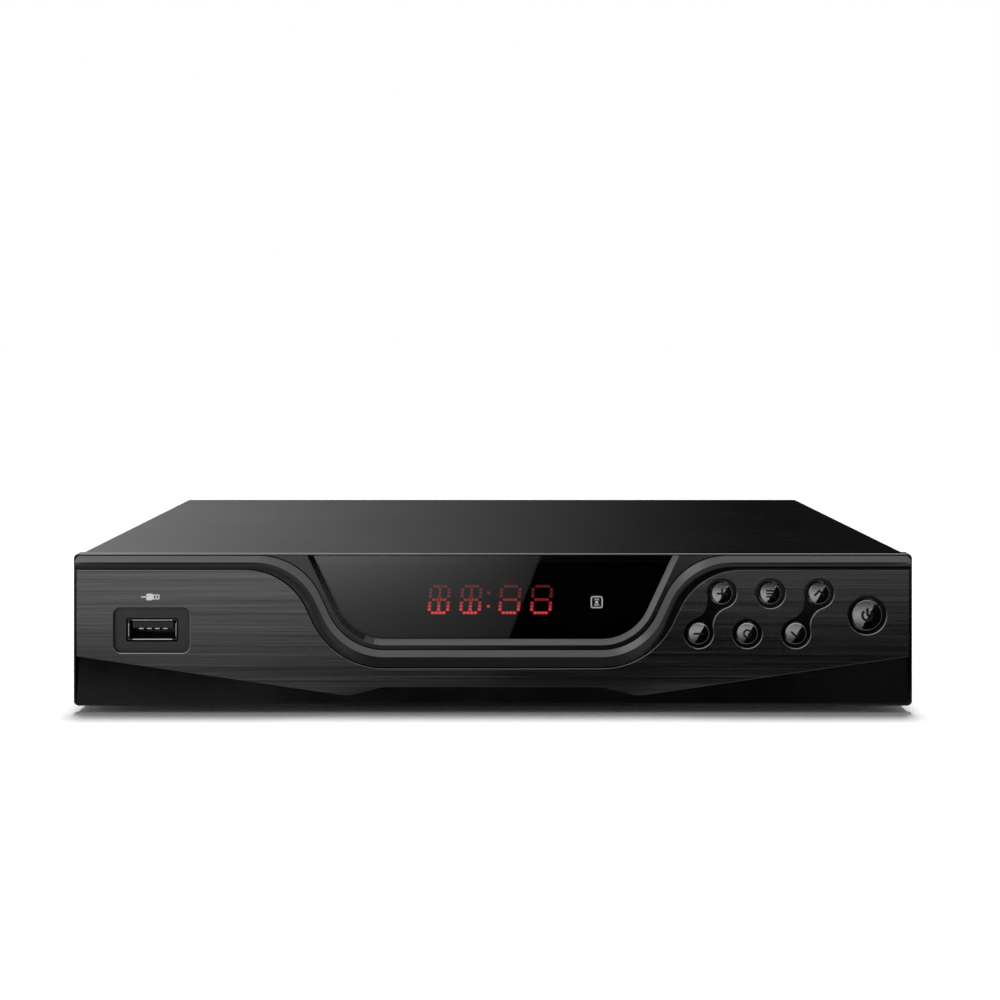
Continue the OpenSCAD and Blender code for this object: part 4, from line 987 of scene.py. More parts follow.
@dataclass
class FrontPanel:
    """Moulded body, brushed plate, strip round the window and swept band."""

    field_w: float = 19.85
    field_h: float = 11.7
    field_r: float = 1.8
    usb_at: Point2 = (-89.6, 19.7)
    usb_w: float = 13.7
    usb_h: float = 6.2
    liner_t: float = 0.06
    mark_at: Point2 = (-89.8, 28.5)
    lip_r: float = 0.28
    lip_z: float = 41.5
    corner_r: float = 1.5
    near: float = 0.05
    usb_reach: float = 7.2
    usb_step: float = 2.5
    sharp: float = 60.0
    level: float = 0.2
    wall_top: float = 41.0
    wall_from: float = -34.0
    wall_full: float = -31.0

    def build(self) -> None:
        """Builds the panel."""
        self.body()
        self.rims(carried("brushed_plate", BRUSHED_BLACK, 0.28, held=False))
        self.bezel()
        carried("trim_band", SATIN_TRIM, 0.08, crease=20.0, held=False)
        self.liner()
        self.plug_mark()

    def body(self) -> None:
        """Moulded body, with a rounding along the outer edge of its front, whose faces along the
        top take a bright metal finish as a painted highlight.
        """
        body = carried("fascia_body", GLOSS_BLACK)
        bm = bmesh.new()
        bm.from_mesh(body.data)
        front = LAYOUT.rim_y * MM
        edges = [edge for edge in bm.edges if edge.is_manifold
                 and edge.calc_face_angle(0.0) > math.radians(self.sharp)
                 and all(abs(v.co.y - front) < 1e-5 and self.on_outline(v.co / MM)
                         for v in edge.verts)]
        bmesh.ops.bevel(bm, geom=edges, offset=self.lip_r * MM, segments=2, profile=0.5,
                        affect="EDGES", clamp_overlap=False)
        bm.to_mesh(body.data)
        bm.free()
        creased(body.data, 6)
        # Painted highlight: the rounding along the top edge takes a bright metal finish where it
        # faces up and forward, so that it reads as a light line.
        body.data.materials.append(LIP_PAINTED_HIGHLIGHT.material())
        for face in body.data.polygons:
            face.use_smooth = face.normal.y > -0.9
            ahead, upward = -face.normal.y, face.normal.z
            if face.center.z > self.lip_z * MM and min(ahead, upward) > self.level:
                face.material_index = 1
        LOG.info("fascia_body: %d edges rounded", len(edges))

    def on_outline(self, spot: Vector) -> bool:
        """Whether a point in millimetres lies on the outline of the front, above its foot."""
        side = LAYOUT.panel_w / 2 - abs(spot.x)
        top = LAYOUT.foot_h + LAYOUT.panel_h - spot.z
        return min(side, top) < self.near or max(side, top) < self.corner_r + self.near

    def rims(self, plate: bpy.types.Object) -> None:
        """Gives the cut edges of the openings a bright bare-metal finish only where they face up
        and to the left, towards the light, as a painted highlight.
        """
        across, height = self.usb_at
        spots = KeySet().openings() + [(across + i * self.usb_step, height, self.usb_reach)
                                       for i in range(-2, 3)]
        # Painted highlight on the edges of the openings round the keys and the USB field that face
        # up and to the left.
        plate.data.materials.append(EDGE_PAINTED_HIGHLIGHT.material())
        for face in plate.data.polygons:
            at = face.center / MM
            lit = -0.97 < face.normal.y < -self.level and face.normal.z - face.normal.x > 0.25
            if lit and any(math.hypot(at.x - x, at.z - LAYOUT.foot_h - z) < reach
                           for x, z, reach in spots):
                face.material_index = 1

    def bezel(self) -> None:
        """Strip round the window. Its inner walls below and on the right, which face the light,
        take a lighter finish as painted light, with a dimmer painted half-shade where it starts on
        the left.
        """
        strip = carried("window_bezel", BEZEL_BLACK, 0.1)
        # Painted light on the inner walls that face up or left, with a painted half-shade where it
        # begins on the left.
        for finish in (BEZEL_WALL_PAINTED_LIGHT, BEZEL_WALL_PAINTED_HALF_SHADE):
            strip.data.materials.append(finish.material())
        for face in strip.data.polygons:
            across, upward, leftward = face.center.x / MM, face.normal.z, -face.normal.x
            if face.center.z < self.wall_top * MM and across > self.wall_from and (
                    upward > 0.6 or (leftward > 0.5 and across > 0)):
                face.material_index = 1 if across > self.wall_full else 2

    def liner(self) -> None:
        """Thin insert on the floor of the field round the USB socket."""
        place = on_panel(*self.usb_at, LAYOUT.plate_back)
        outer = rounded(self.field_w - 0.1, self.field_h - 0.1, self.field_r)
        inner = rounded(self.usb_w, self.usb_h, 0.7)
        fixed(Solid().frame_prism(place, outer, inner, 0, self.liner_t)
              .build("usb_field_liner", FIELD_BLACK))

    def plug_mark(self) -> None:
        """Printed outline of a plug over the USB socket."""
        place = on_panel(*self.mark_at, LAYOUT.plate_sink)
        mark = Solid()
        mark.prism(place, stroke((-2.4, 0), (-1.1, 0), 0.3), SINK, PROUD)
        mark.prism(place, shifted(rounded(1.75, 1.75, 0.35), -0.3, 0), SINK, PROUD)
        mark.frame_prism(place, shifted(rounded(1.7, 1.3, 0.15), 1.45, 0),
                         shifted(rounded(1.2, 0.8, 0.05), 1.45, 0), SINK, PROUD)
        for height in (-0.2, 0.2):
            mark.prism(place, shifted(rounded(0.5, 0.2, 0.05), 1.45, height), SINK, PROUD)
        fixed(mark.build("plug_mark", WHITE_INK))


class Symbol(Enum):
    """Symbol sunk into a key."""

    PLUS = "plus"
    MINUS = "minus"
    BARS = "bars"
    RING = "ring"
    UP = "up"
    DOWN = "down"
    POWER = "power"


@dataclass
class KeyCap:
    """One key: cap whose domed face has a slanting ridge and a sunk symbol, rim and stem, with a
    painted highlight on the faces of the rim that look down and to the right.
    """

    node: str
    x: float
    height: float
    symbol: Symbol
    radius: float = 2.8
    dome: float = 0.035
    face: float = 0.25
    edge_r: float = 0.24
    line: float = 0.52
    sunk: float = 0.4
    ridge: float = 62.0
    fall: float = 0.14
    aside: float = 0.3
    stem_r: float = 1.7
    stem_end: float = -8.9
    flange: float = 0.9
    flange_low: float = -4.9
    flange_high: float = -4.1
    dome_steps: int = 15

    def profile(self) -> list[Point2]:
        """Half section of the key, from the stem to the middle of its face."""
        r, low, flat = self.radius, self.face - self.dome, self.radius - self.edge_r
        ball = (flat * flat + self.dome * self.dome) / (2 * self.dome)
        under, over = self.flange_low, self.flange_high
        points = [(0, self.stem_end), (self.stem_r, self.stem_end), (self.stem_r, under),
                  (r + self.flange, under), (r + self.flange, over), (r, over),
                  (r, low - self.edge_r)]
        for i in range(self.dome_steps):
            x = flat * (1 - i / self.dome_steps)
            points.append((x, self.face - ball + math.sqrt(ball * ball - x * x)))
        return points + [(0, self.face)]

    def lines(self) -> list[Outline]:
        """Strokes of the symbol, in millimetres about the middle of the key."""
        w = self.line
        if self.symbol is Symbol.PLUS:
            return [stroke((-1.2, 0), (1.2, 0), w), stroke((0, -1.2), (0, 1.2), w)]
        if self.symbol is Symbol.MINUS:
            return [stroke((-1.15, 0), (1.15, 0), w)]
        if self.symbol is Symbol.BARS:
            return [stroke((-1.0, y), (1.0, y), w * 0.9) for y in (-0.75, 0, 0.75)]
        if self.symbol is Symbol.RING:
            return [bent_stroke(arc((0, 0), 0.95, a, a + 180, 14), w * 0.9) for a in (0, 180)]
        if self.symbol is Symbol.UP:
            return [bent_stroke([(-1.3, -0.55), (0, 0.75), (1.3, -0.55)], w)]
        if self.symbol is Symbol.DOWN:
            return [bent_stroke([(-1.3, 0.55), (0, -0.75), (1.3, 0.55)], w)]
        return [bent_stroke(arc((0, 0), 1.3, 125, 415, 24), w * 1.2),
                stroke((0, 0.1), (0, 1.6), w * 1.2)]

    def build(self) -> bpy.types.Object:
        """Builds the piece that stands for the key's node."""
        place = on_panel(self.x, self.height)
        middle = place.translation.copy()
        turned = place @ Matrix.Rotation(math.radians(self.ridge), 4, "Z")
        shape = Solid().lathe(turned, self.profile(), 72)
        inverse = turned.inverted()
        for i, point in enumerate(shape.points):
            spot = inverse @ point
            if spot.z > self.face - self.dome - 2 * self.edge_r:
                spot.z -= abs(spot.y + self.aside) * self.fall
                shape.points[i] = turned @ spot
        cap = shape.build(self.node + "_dressed", KEY_METAL, crease=6.0)
        cutter = Solid()
        for outline in self.lines():
            cutter.prism(place, outline, self.face - self.sunk, self.face + 1)
        key = cut(cap, cutter.build("symbol", ENGRAVING), 8.0)
        # Painted highlight: the faces round the rim that look down and to the right take a lighter
        # finish.
        key.data.materials.append(KEY_RIM_PAINTED_HIGHLIGHT.material())
        for face in key.data.polygons:
            away, normal = face.center / MM - middle, face.normal
            outside = math.hypot(away.x, away.z) > self.radius - self.edge_r - 0.03
            if outside and -0.93 < normal.y < -0.3 and normal.x - normal.z > 0.2:
                face.material_index = len(key.data.materials) - 1
        return standing_for(key, self.node)


@dataclass
class KeySet:
    """The seven keys."""

    right: float = 85.6
    upper: float = 29.4
    pitch: float = 12.75
    row: float = 10.5
    stagger: float = 6.1
    power_at: Point2 = (98.2, 23.7)
    key_reach: float = 4.8
    neck_reach: float = 3.6
    power_reach: float = 6.2

    def small_keys(self) -> list[KeyCap]:
        """The six small keys, in two rows of three."""
        names = (("plus_key", Symbol.PLUS, 0, 0), ("menu_key", Symbol.BARS, 1, 0),
                 ("up_key", Symbol.UP, 2, 0), ("minus_key", Symbol.MINUS, 0, 1),
                 ("ok_key", Symbol.RING, 1, 1), ("down_key", Symbol.DOWN, 2, 1))
        return [KeyCap(node, self.right - (2 - column) * self.pitch - line * self.stagger,
                       self.upper - line * self.row, symbol)
                for node, symbol, column, line in names]

    def openings(self) -> list[tuple[float, float, float]]:
        """Places and reach, in millimetres, that cover the openings of the plate for the keys."""
        keys = self.small_keys()
        found = [(key.x, key.height, self.key_reach) for key in keys]
        found += [(key.x + self.stagger * t, key.height + self.row * t, self.neck_reach)
                  for key in keys if key.node in ("minus_key", "down_key")
                  for t in (0.3, 0.5, 0.7)]
        return found + [(*self.power_at, self.power_reach)]

    def build(self) -> None:
        """Builds the keys."""
        for key in self.small_keys():
            key.build()
        KeyCap("power_key", *self.power_at, Symbol.POWER, radius=4.0, dome=0.06,
               line=0.56).build()


# ------------------------------------------------------------------ window and display


@dataclass
class DisplayWindow:
    """Smoked window, the dashed red digits behind it and the sensor's mark on it."""

    repeats: Repeats
    middle: Point2 = (-0.65, 27.1)
    depth: float = 4.6
    thick: float = 0.3
    digit_w: float = 5.7
    digit_h: float = 7.7
    pitch: float = 8.4
    colon_pitch: float = 10.35
    slant: float = 4.6
    dash: Point2 = (0.82, 0.66)
    sensor_at: Point2 = (27.35, 26.85)
    lens_back: float = 3.4
    print_box: tuple[float, float, float, float] = (-50.0, 14.0, 50.0, 39.2)
    clear_w: float = 35.6
    clear_h: float = 9.2
    face_more: Point2 = (0.4, 1.2)
    dash_pitch: float = 0.98
    colon_up: float = 0.25

    def build(self) -> None:
        """Builds the window."""
        carried("display_window", WINDOW).data.shade_flat()
        self.mask()
        self.digits()
        self.sensor_mark()

    def mask(self) -> None:
        """Black print on the back of the window, left clear in front of the digits."""
        place = on_panel(0, 0, self.lens_back)
        clear = shifted(box(-self.clear_w / 2, -self.clear_h / 2, self.clear_w / 2,
                            self.clear_h / 2), *self.middle)
        fixed(Solid().frame_prism(place, box(*self.print_box), clear, -0.06, SINK)
              .build("window_print", WINDOW_PRINT))
        face = rounded(self.clear_w + self.face_more[0], self.clear_h + self.face_more[1], 0.3)
        place = on_panel(*self.middle, self.depth + self.thick)
        fixed(Solid().prism(place, face, SINK, 0.02).build("led_face_print", WINDOW_PRINT))

    def dashes(self) -> list[tuple[Point2, Point2]]:
        """Middle and direction of each dash, in millimetres about the middle of the digits."""
        across, up = self.digit_w - self.dash[0], self.digit_h - self.dash[1]
        lean = math.tan(math.radians(self.slant))
        found: list[tuple[Point2, Point2]] = []
        centres = (-self.pitch - self.colon_pitch / 2, -self.colon_pitch / 2,
                   self.colon_pitch / 2, self.pitch + self.colon_pitch / 2)
        for index, centre in enumerate(centres):
            for z in (-up / 2, 0, up / 2):
                found += [((centre + i * self.dash_pitch + z * lean, z), (1, 0))
                          for i in (-1.5, -0.5, 0.5, 1.5)]
            posts = (-across / 2, 0, across / 2) if index < 2 else (-across / 2, across / 2)
            for x in posts:
                for z in (-0.75, -0.5, -0.25, 0.25, 0.5, 0.75):
                    height = z * up / 2
                    found.append(((centre + x + height * lean, height), (1, 0)))
        for z in (-self.colon_up, self.colon_up):
            found.append(((z * up * lean * 0.5 - 0.5, z * up), (1, 0)))
        return found

    def digits(self) -> None:
        """Red dashes on the face of the display."""
        length, width = self.dash
        shape = Solid().prism(Facing.FRONT.frame(0, 0, 0), rounded(length, width, 0.14, 2),
                              -self.thick, 0).build("dash", SEGMENT_RED)
        origin = on_panel(*self.middle, self.depth)
        spots = [(origin @ Vector((x, z, 0)), Vector((dx, 0, dz)).normalized())
                 for (x, z), (dx, dz) in self.dashes()]
        piece = self.repeats.on_spots("led_segments_dressed", shape, spots, SEGMENT_RED,
                                      self.repeats.level)
        standing_for(piece, "led_segments")

    def sensor_mark(self) -> None:
        """Printed frame with an eye where the remote control sensor looks out."""
        place = on_panel(*self.sensor_at, LAYOUT.lens_face)
        mark = Solid()
        mark.frame_prism(place, rounded(3.1, 3.1, 0.6), rounded(2.6, 2.6, 0.38), SINK, PROUD)
        mark.prism(place, ring(0.36, 20), SINK, PROUD)
        for start in (40, 220):
            eyelid = bent_stroke(arc((0, 0), 0.82, start, start + 100, 10), 0.2)
            mark.prism(place, eyelid, SINK, PROUD)
        fixed(mark.build("sensor_mark", GREY_INK))


@dataclass
class UsbSocket:
    """Steel shell in a dark finish that paints the shade inside the socket, with four flared lips,
    tongue and contacts of the front socket.
    """

    repeats: Repeats
    at: Point2 = (-89.6, 19.7)
    mouth: float = 1.4
    lip_t: float = 0.3
    lip_w: float = 10.5
    lip_h: float = 3.5
    lip_depths: tuple[float, float, float] = (-0.05, 0.22, 0.08)
    shell_w: float = 12.75
    shell_h: float = 5.4
    contact_w: float = 1.14
    contact_pitch: float = 2.12
    contact_depth: float = 2.2
    tongue_low: float = 20.0

    def build(self) -> None:
        """Builds the socket."""
        # The shell takes a darkened steel finish, a painted shade for the dark inside of the
        # socket.
        carried("usb_shell", STEEL_PAINTED_SHADE, 0.07)
        carried("usb_tongue", TONGUE_BLACK, 0.1)
        self.lips()
        self.contacts()

    def lips(self) -> None:
        """Flared lips at the mouth of the shell, open at its corners."""
        place = on_panel(*self.at, self.mouth)
        lips = Solid()
        for side in (-1, 1):
            across = (self.shell_w - self.lip_t) / 2 * side
            up = (self.shell_h - self.lip_t) / 2 * side
            for outline in (shifted(rounded(self.lip_t, self.lip_h, 0.1, 3), across, 0),
                            shifted(rounded(self.lip_w, self.lip_t, 0.1, 3), 0, up)):
                lips.prism(place, outline, *self.lip_depths)
        fixed(lips.build("usb_lips", SOCKET_STEEL))

    def contacts(self) -> None:
        """Four sprung contacts on the lower side of the tongue."""
        spring = [(0.3, 0.0), (0.3, -0.32), (0.6, -0.68), (1.1, -0.74), (1.8, -0.5), (2.6, -0.25),
                  (8.8, -0.25), (8.8, 0.0)]
        x = self.at[0] - 1.5 * self.contact_pitch
        side = Facing.RIGHT.frame(x - self.contact_w / 2, LAYOUT.rim_y + self.contact_depth,
                                  LAYOUT.foot_h + self.tongue_low)
        blade = Solid().prism(side, spring[::-1], 0.0, self.contact_w)
        piece = self.repeats.in_row("usb_contacts_dressed", blade, 4,
                                    Vector((self.contact_pitch, 0, 0)), BRIGHT_CONTACT)
        standing_for(piece, "usb_contacts")


# ------------------------------------------------------------------ rear sockets


@dataclass
class AerialSockets:
    """Two threaded sockets with their nuts and insulators."""

    repeats: Repeats
    places: tuple[tuple[str, float], ...] = (("lnb_input_socket", 94.0),
                                             ("loop_output_socket", 76.0))
    height: float = 17.1
    reach: float = 10.5
    radius: float = 4.76
    core_r: float = 4.46
    thread_pitch: float = 0.8
    thread_turns: int = 9

    def build(self) -> None:
        """Builds the sockets."""
        for node, x in self.places:
            place = on_rear(x, self.height)
            body = Solid().lathe(place, [
                (3.3, -1.4), (3.3, self.reach - 0.15), (3.42, self.reach), (4.25, self.reach),
                (self.core_r, self.reach - 0.25), (self.core_r, -0.8), (6.2, -0.8),
                (6.2, -2.0), (0.0, -2.0), (0.0, -1.4)][::-1], 56)
            standing_for(body.build(node + "_dressed", NICKEL), node)
            foot, side = self.core_r - 0.05, self.radius - 0.06
            ridge = Solid().lathe(place, [
                (foot, 2.5), (side, 2.78), (self.radius, 2.84), (side, 2.9), (foot, 3.18)],
                44, closed=True)
            fixed(self.repeats.in_row(node + "_thread", ridge, self.thread_turns,
                                      Vector((0, self.thread_pitch, 0)), NICKEL))
        carried("socket_nuts", NICKEL, 0.2)
        carried("socket_insulators", DIELECTRIC, 0.1)


@dataclass
class SignalSockets:
    """Audio and video sockets, digital video socket and network socket."""

    repeats: Repeats
    hdmi_at: Point2 = (34.0, 11.3)
    network_at: Point2 = (53.0, 15.1)
    light_from: Point2 = (5.9, 5.1)
    contact_step: float = 1.0
    contact_len: float = 6.5

    def build(self) -> None:
        """Builds the sockets."""
        for node, finish, edge in (
                ("phono_block", MATT_BLACK, 0.2), ("phono_sleeves", NICKEL, 0.12),
                ("video_ring", YELLOW, 0.22), ("left_audio_ring", WHITE, 0.22),
                ("right_audio_ring", RED, 0.22), ("digital_audio_ring", ORANGE, 0.22),
                ("hdmi_shell", SOCKET_STEEL, 0.07), ("hdmi_tongue", TONGUE_BLACK, 0.06),
                ("ethernet_socket", SOCKET_STEEL, 0.1), ("ethernet_contacts", GOLD, 0.0)):
            carried(node, finish, edge)
        self.hdmi_contacts()
        self.network_lights()

    def hdmi_contacts(self) -> None:
        """Two rows of gold contacts on the tongue of the digital video socket."""
        for name, count, low in (("hdmi_contacts_lower", 10, -0.45),
                                 ("hdmi_contacts_upper", 9, 0.8)):
            first = self.hdmi_at[0] - (count - 1) / 2 * self.contact_step
            place = on_rear(first, self.hdmi_at[1] + low, -1.0)
            shape = Solid().prism(place, rounded(0.45, 0.06, 0.02, 2), -self.contact_len, 0)
            step = Vector((self.contact_step, 0, 0))
            fixed(self.repeats.in_row(name, shape, count, step, GOLD))

    def network_lights(self) -> None:
        """Two small windows of the network socket's lights."""
        for name, side, finish in (("link_light", -1, GREEN_LIGHT),
                                   ("data_light", 1, AMBER_LIGHT)):
            place = on_rear(self.network_at[0] + side * self.light_from[0],
                            self.network_at[1] + self.light_from[1], 0.3)
            fixed(Solid().prism(place, rounded(2.6, 1.7, 0.25), -0.2, 0.12, 0.1)
                  .build(name, finish))


@dataclass
class MainsEntry:
    """Mains inlet and rocker switch."""

    switch_at: Point2 = (-62.0, 20.0)
    pivot_out: float = -0.8
    tilt: float = 10.0
    face_out: float = 2.75
    face_up: float = 4.65
    fall: Point2 = (1.3, 6.3)

    def build(self) -> None:
        """Builds the inlet and the switch."""
        for node, finish, edge in (("mains_inlet", MATT_BLACK, 0.25), ("inlet_pins", NICKEL, 0.0),
                                   ("switch_body", MATT_BLACK, 0.2),
                                   ("rocker_paddle", ROCKER_BLACK, 0.2)):
            carried(node, finish, edge)
        self.paddle_marks()

    def paddle_marks(self) -> None:
        """On and off marks printed on the two faces of the paddle."""
        pivot = Matrix.Translation(Vector((self.switch_at[0], LAYOUT.rear_y + self.pivot_out,
                                           LAYOUT.foot_h + self.switch_at[1])) * MM)
        tilt = Matrix.Rotation(math.radians(self.tilt), 4, "X")
        marks = Solid()
        for side in (1, -1):
            lean = Matrix.Rotation(-side * math.atan2(*self.fall), 4, "X")
            face = Matrix.Translation(Vector((0, self.face_out, side * self.face_up)) * MM)
            place = pivot @ tilt @ face @ lean @ Facing.REAR.frame(0, 0, 0)
            if side > 0:
                marks.prism(place, stroke((0, -1.3), (0, 1.3), 0.5), -0.02, 0.03)
            else:
                marks.frame_prism(place, ring(1.5, 28), ring(1.05, 28), -0.02, 0.03)
        fixed(marks.build("paddle_marks", WHITE_INK), "rocker")


@dataclass
class RearFittings:
    """Small screws and printed marks on the rear wall."""

    repeats: Repeats
    screws: tuple[Point2, ...] = ((-2.5, 24.6), (43.6, 26.5), (-40.0, 8.5), (85.0, 26.8))
    phono_x: tuple[float, ...] = (-22.0, -9.0, 4.0, 17.0)
    phono_mark_h: float = 7.3

    def build(self) -> None:
        """Builds the fittings."""
        head = PanHead(radius=2.4, height=1.3, edge=0.7, shank=0.6)
        spots = [(on_rear(x, z) @ Vector((0, 0, 0)), Vector((0, 1, 0))) for x, z in self.screws]
        fixed(self.repeats.on_spots("rear_screws", head.shape(NICKEL), spots, NICKEL))
        self.marks()

    def marks(self) -> None:
        """Printed arrows that tell inputs from outputs."""
        ink = Solid()
        arrow = [(-1.3, -1.0), (1.3, -1.0), (0.0, 1.2)]
        for x, inwards in ((94.0, True), (76.0, False)):
            shape = [(px, -pz) for px, pz in arrow][::-1] if inwards else arrow
            ink.prism(on_rear(x, 8.0), shape, SINK, PROUD)
            ink.prism(on_rear(x, 6.2 if inwards else 6.0), rounded(2.8, 0.4, 0.1), SINK, PROUD)
        for x in self.phono_x:
            place = on_rear(x, self.phono_mark_h)
            ink.frame_prism(place, ring(1.0, 24), ring(0.7, 24), SINK, PROUD)
            ink.prism(place, ring(0.35, 16), SINK, PROUD)
        fixed(ink.build("rear_marks", DARK_INK))


# ------------------------------------------------------------------ inside


@dataclass
class Inside:
    """Finishes of the boards and parts inside, which keep the model's own shapes."""

    finishes: dict[str, Finish] = field(default_factory=lambda: {
        "front_board": GREEN_BOARD, "front_board_screws": NICKEL, "led_display": DISPLAY_BLACK,
        "ir_receiver": SENSOR_DARK, "tact_switches": MATT_BLACK, "ribbon_cable": GREY_RIBBON,
        "board_connectors": CREAM, "main_board": GREEN_BOARD, "standoffs": BRASS,
        "board_screws": NICKEL, "processor": RESIN, "heat_sink": ANODISED,
        "memory_chips": RESIN, "board_capacitors": SLEEVE, "tuner_can": SOCKET_STEEL,
        "power_board": BROWN_BOARD, "transformer_core": FERRITE,
        "transformer_winding": YELLOW_TAPE, "mains_capacitor": SLEEVE, "noise_choke": COPPER,
        "power_heat_sink": BARE_METAL, "power_lead": LEAD_BLACK})

    def build(self) -> None:
        """Paints the nodes."""
        for node, finish in self.finishes.items():
            for holder in frame["nodes"][node].material_slots:
                holder.material = finish.material()
            LOG.info("%s: finished in %s", node, finish.name)


# ------------------------------------------------------------------ studio


@dataclass
class Card:
    """A glowing sheet of the studio that shows in polished faces."""

    name: str
    corners: tuple[tuple[float, float, float], ...]

    def build(self, glow: Callable[[Graph], Wire]) -> bpy.types.Object:
        """Builds the sheet, which only polished faces see. Its glow gives the brightness, where 1
        is white.
        """
        mesh = bpy.data.meshes.new(self.name)
        mesh.from_pydata(self.corners, [], [tuple(range(len(self.corners)))])
        graph = Graph(self.name)
        graph.feed(graph.end.inputs["Surface"], graph.make(
            "ShaderNodeEmission", {}, {"Color": (1.0, 1.0, 1.0), "Strength": glow(graph)}))
        mesh.materials.append(graph.material)
        sheet = linked(self.name, mesh, None)
        for ray in ("camera", "diffuse", "transmission", "volume_scatter", "shadow"):
            setattr(sheet, "visible_" + ray, False)
        return sheet


@dataclass
class Softbox:
    """A square area lamp that is turned to a point of the object."""

    name: str
    place: tuple[float, float, float]
    side: float
    power: float
    target: tuple[float, float, float] = (0.0, 0.0, 0.02)

    def build(self) -> None:
        """Builds the lamp."""
        lamp = bpy.data.lights.new(self.name, "AREA")
        lamp.size, lamp.energy = self.side, self.power
        holder = bpy.data.objects.new(self.name, lamp)
        holder.location = self.place
        way = Vector(self.target) - Vector(self.place)
        holder.rotation_euler = way.to_track_quat("-Z", "Y").to_euler()
        bpy.context.scene.collection.objects.link(holder)


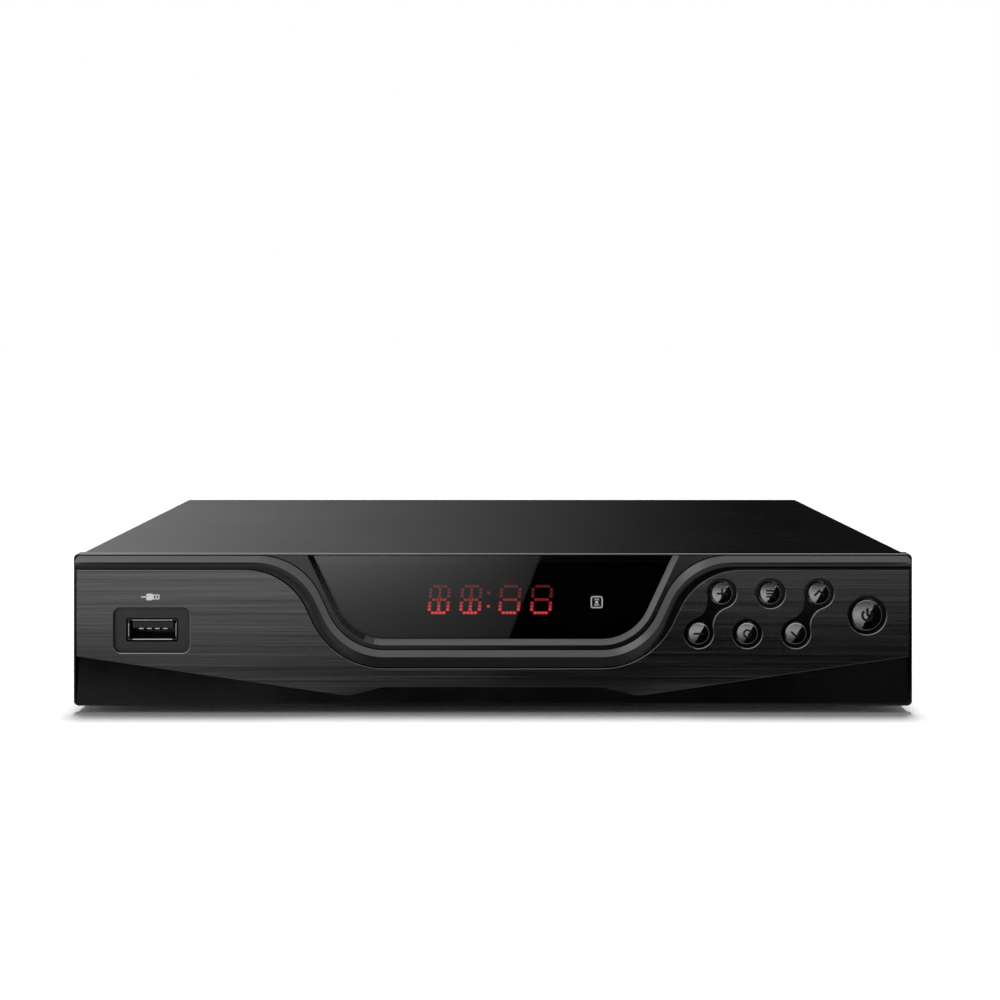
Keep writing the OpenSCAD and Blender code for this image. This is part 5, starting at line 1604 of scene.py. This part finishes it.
@dataclass
class Studio:
    """Pale floor, soft lamps, light sheets and the camera."""

    camera_at: tuple[float, float, float] = (-0.0009, -0.4918, 0.0953)
    lens: float = 56.556
    shift: Point2 = (0.0105, -0.15)
    floor_white: float = 1.05
    floor_plain: float = 0.85
    floor_half: float = 40.0
    ambient: float = 0.25
    sun: float = 2.7
    sun_tilt: float = 9.5
    sun_spread: float = 16.0

    def build(self) -> None:
        """Builds the studio."""
        self.floor()
        self.world()
        self.sheets()
        Softbox("key_light", place=(-0.6, -0.9, 1.1), side=0.6, power=1.0).build()
        self.overhead()
        self.camera()

    def overhead(self) -> None:
        """Broad light from above and a little behind, which gives the short soft shadow."""
        lamp = bpy.data.lights.new("overhead", "SUN")
        lamp.energy, lamp.angle = self.sun, math.radians(self.sun_spread)
        holder = bpy.data.objects.new("overhead", lamp)
        holder.rotation_euler = (math.radians(-self.sun_tilt), 0, 0)
        bpy.context.scene.collection.objects.link(holder)

    def floor(self) -> None:
        """Pale floor, which the camera sees as white away from the shadow."""
        mesh = bpy.data.meshes.new("floor")
        half = self.floor_half
        mesh.from_pydata([(x, y, 0) for x, y in box(-half, -half, half, half)], [],
                         [(0, 1, 2, 3)])
        graph = Graph("floor")
        plain = graph.make("ShaderNodeBsdfDiffuse", {}, {
            "Color": graph.blend((self.floor_plain,) * 3, (self.floor_white,) * 3,
                                 self.seen(graph, "Is Camera Ray"))})
        graph.feed(graph.end.inputs["Surface"], plain)
        mesh.materials.append(graph.material)
        linked("floor", mesh, None)

    @staticmethod
    def seen(graph: Graph, *rays: str) -> Wire:
        """1 for rays of those kinds, else 0."""
        path = graph.add("ShaderNodeLightPath", {}, {})
        total = Wire(graph, path.outputs[rays[0]])
        for ray in rays[1:]:
            total = total + Wire(graph, path.outputs[ray])
        return total.capped()

    def world(self) -> None:
        """White surroundings, which light the object softly."""
        graph = Graph("surroundings", world=True)
        white = self.seen(graph, "Is Camera Ray", "Is Glossy Ray", "Is Transmission Ray")
        graph.feed(graph.end.inputs["Surface"], graph.make("ShaderNodeBackground", {}, {
            "Color": (1.0, 1.0, 1.0), "Strength": self.ambient + white * (1.0 - self.ambient)}))
        bpy.context.scene.world = graph.material

    def sheets(self) -> None:
        """Sheets that the gloss of the panel, the keys and the cover mirrors."""
        # Half width in X, then Y and Z of the lower and the upper edge, in metres.
        for name, half, near, far, glow in (
                ("floor_sheet", 3, (-2.2, 0.0002), (-0.0803, 0.0002), self.floor_glow),
                ("front_sheet", 5, (-2.2, 0), (-2.2, 2.5), self.front_glow),
                ("back_sheet", 4, (1.0, 0), (1.0, 2.5), self.back_glow)):
            Card(name, ((-half, *near), (half, *near), (half, *far), (-half, *far))).build(glow)

    @staticmethod
    def floor_glow(graph: Graph) -> Wire:
        """Brightness of the floor in polished faces: bright far in front, dark on the right.

        Each step is given by the places in metres between which the brightness changes.
        """
        x, y = graph.axis(0), graph.axis(1)
        depth = (y.between(-0.40, -0.17, 0.95, 0.42) * y.between(-0.195, -0.14, 1.0, 0.45)
                 * y.between(-0.12, -0.105, 1.0, 0.0))
        across = (1.0 - (x + 0.072) * 8.7).capped() + (-0.072 - x).between(0.0, 0.1, 0.0, 0.15)
        edge = (x - 0.00556 + (y + 0.183) * 0.0834).between(-0.0004, 0.0004, 1.0, 0.0)
        right = x.between(0.083, 0.10) * y.between(-0.38, -0.21, 0.42, 0.0)
        near = y.between(-0.115, -0.10, 0.0, 0.3) * (x.between(-0.05, -0.035, 1.0, 0.4)
                                                     + x.between(0.035, 0.05, 0.0, 0.6))
        far = y.between(-0.52, -0.405, 1.0, 0.0) * x.between(0.1, 0.3, 1.0, 0.1)
        return (depth * across * edge + right + near + far).capped()

    @staticmethod
    def front_glow(graph: Graph) -> Wire:
        """Brightness in front: falling to the right, with a dark strip low in the middle."""
        x, z = graph.axis(0), graph.axis(2)
        wide = (x.between(-0.2, 0.5, 1.0, 0.12) * z.between(0.5, 0.9, 1.0, 0.0)
                + z.between(0.5, 0.9, 0.0, 0.9))
        strip = z.between(0.02, 0.05) * z.between(0.36, 0.42, 1.0, 0.0)
        slope = z + (x + 0.62) * 0.12
        low = (slope.between(0.128, 0.155, 0.36, 0.0) * x.between(-0.40, -0.29, 1.0, 0.0)
               + x.between(0.45, 0.6, 0.0, 0.07))
        return wide * (1.0 - strip) + low * strip

    @staticmethod
    def back_glow(graph: Graph) -> Wire:
        """Brightness behind, which falls from left to right."""
        return ((0.26 - graph.axis(0)) * 1.36).capped() ** 1.6 * 0.54

    def camera(self) -> None:
        """Camera straight in front of the object and a little above."""
        camera = bpy.data.cameras.new("camera")
        camera.lens = self.lens
        camera.sensor_width = 36.0
        camera.shift_x, camera.shift_y = self.shift
        camera.clip_start = 0.01
        holder = bpy.data.objects.new("camera", camera)
        holder.location = self.camera_at
        holder.rotation_euler = (math.radians(90), 0, 0)
        bpy.context.scene.collection.objects.link(holder)
        bpy.context.scene.camera = holder
        bpy.context.scene.view_settings.view_transform = "Standard"


def main() -> None:
    """Builds the receiver and its studio in order."""
    logging.basicConfig(level=logging.INFO, format="%(name)s: %(message)s")
    repeats = Repeats()
    for part in (Case(repeats), FrontPanel(), DisplayWindow(repeats), KeySet(), UsbSocket(repeats),
                 AerialSockets(repeats), SignalSockets(repeats), MainsEntry(),
                 RearFittings(repeats), Inside(), Studio()):
        part.build()
        LOG.info("%s: done", type(part).__name__)


if __name__ == "__main__":
    main()
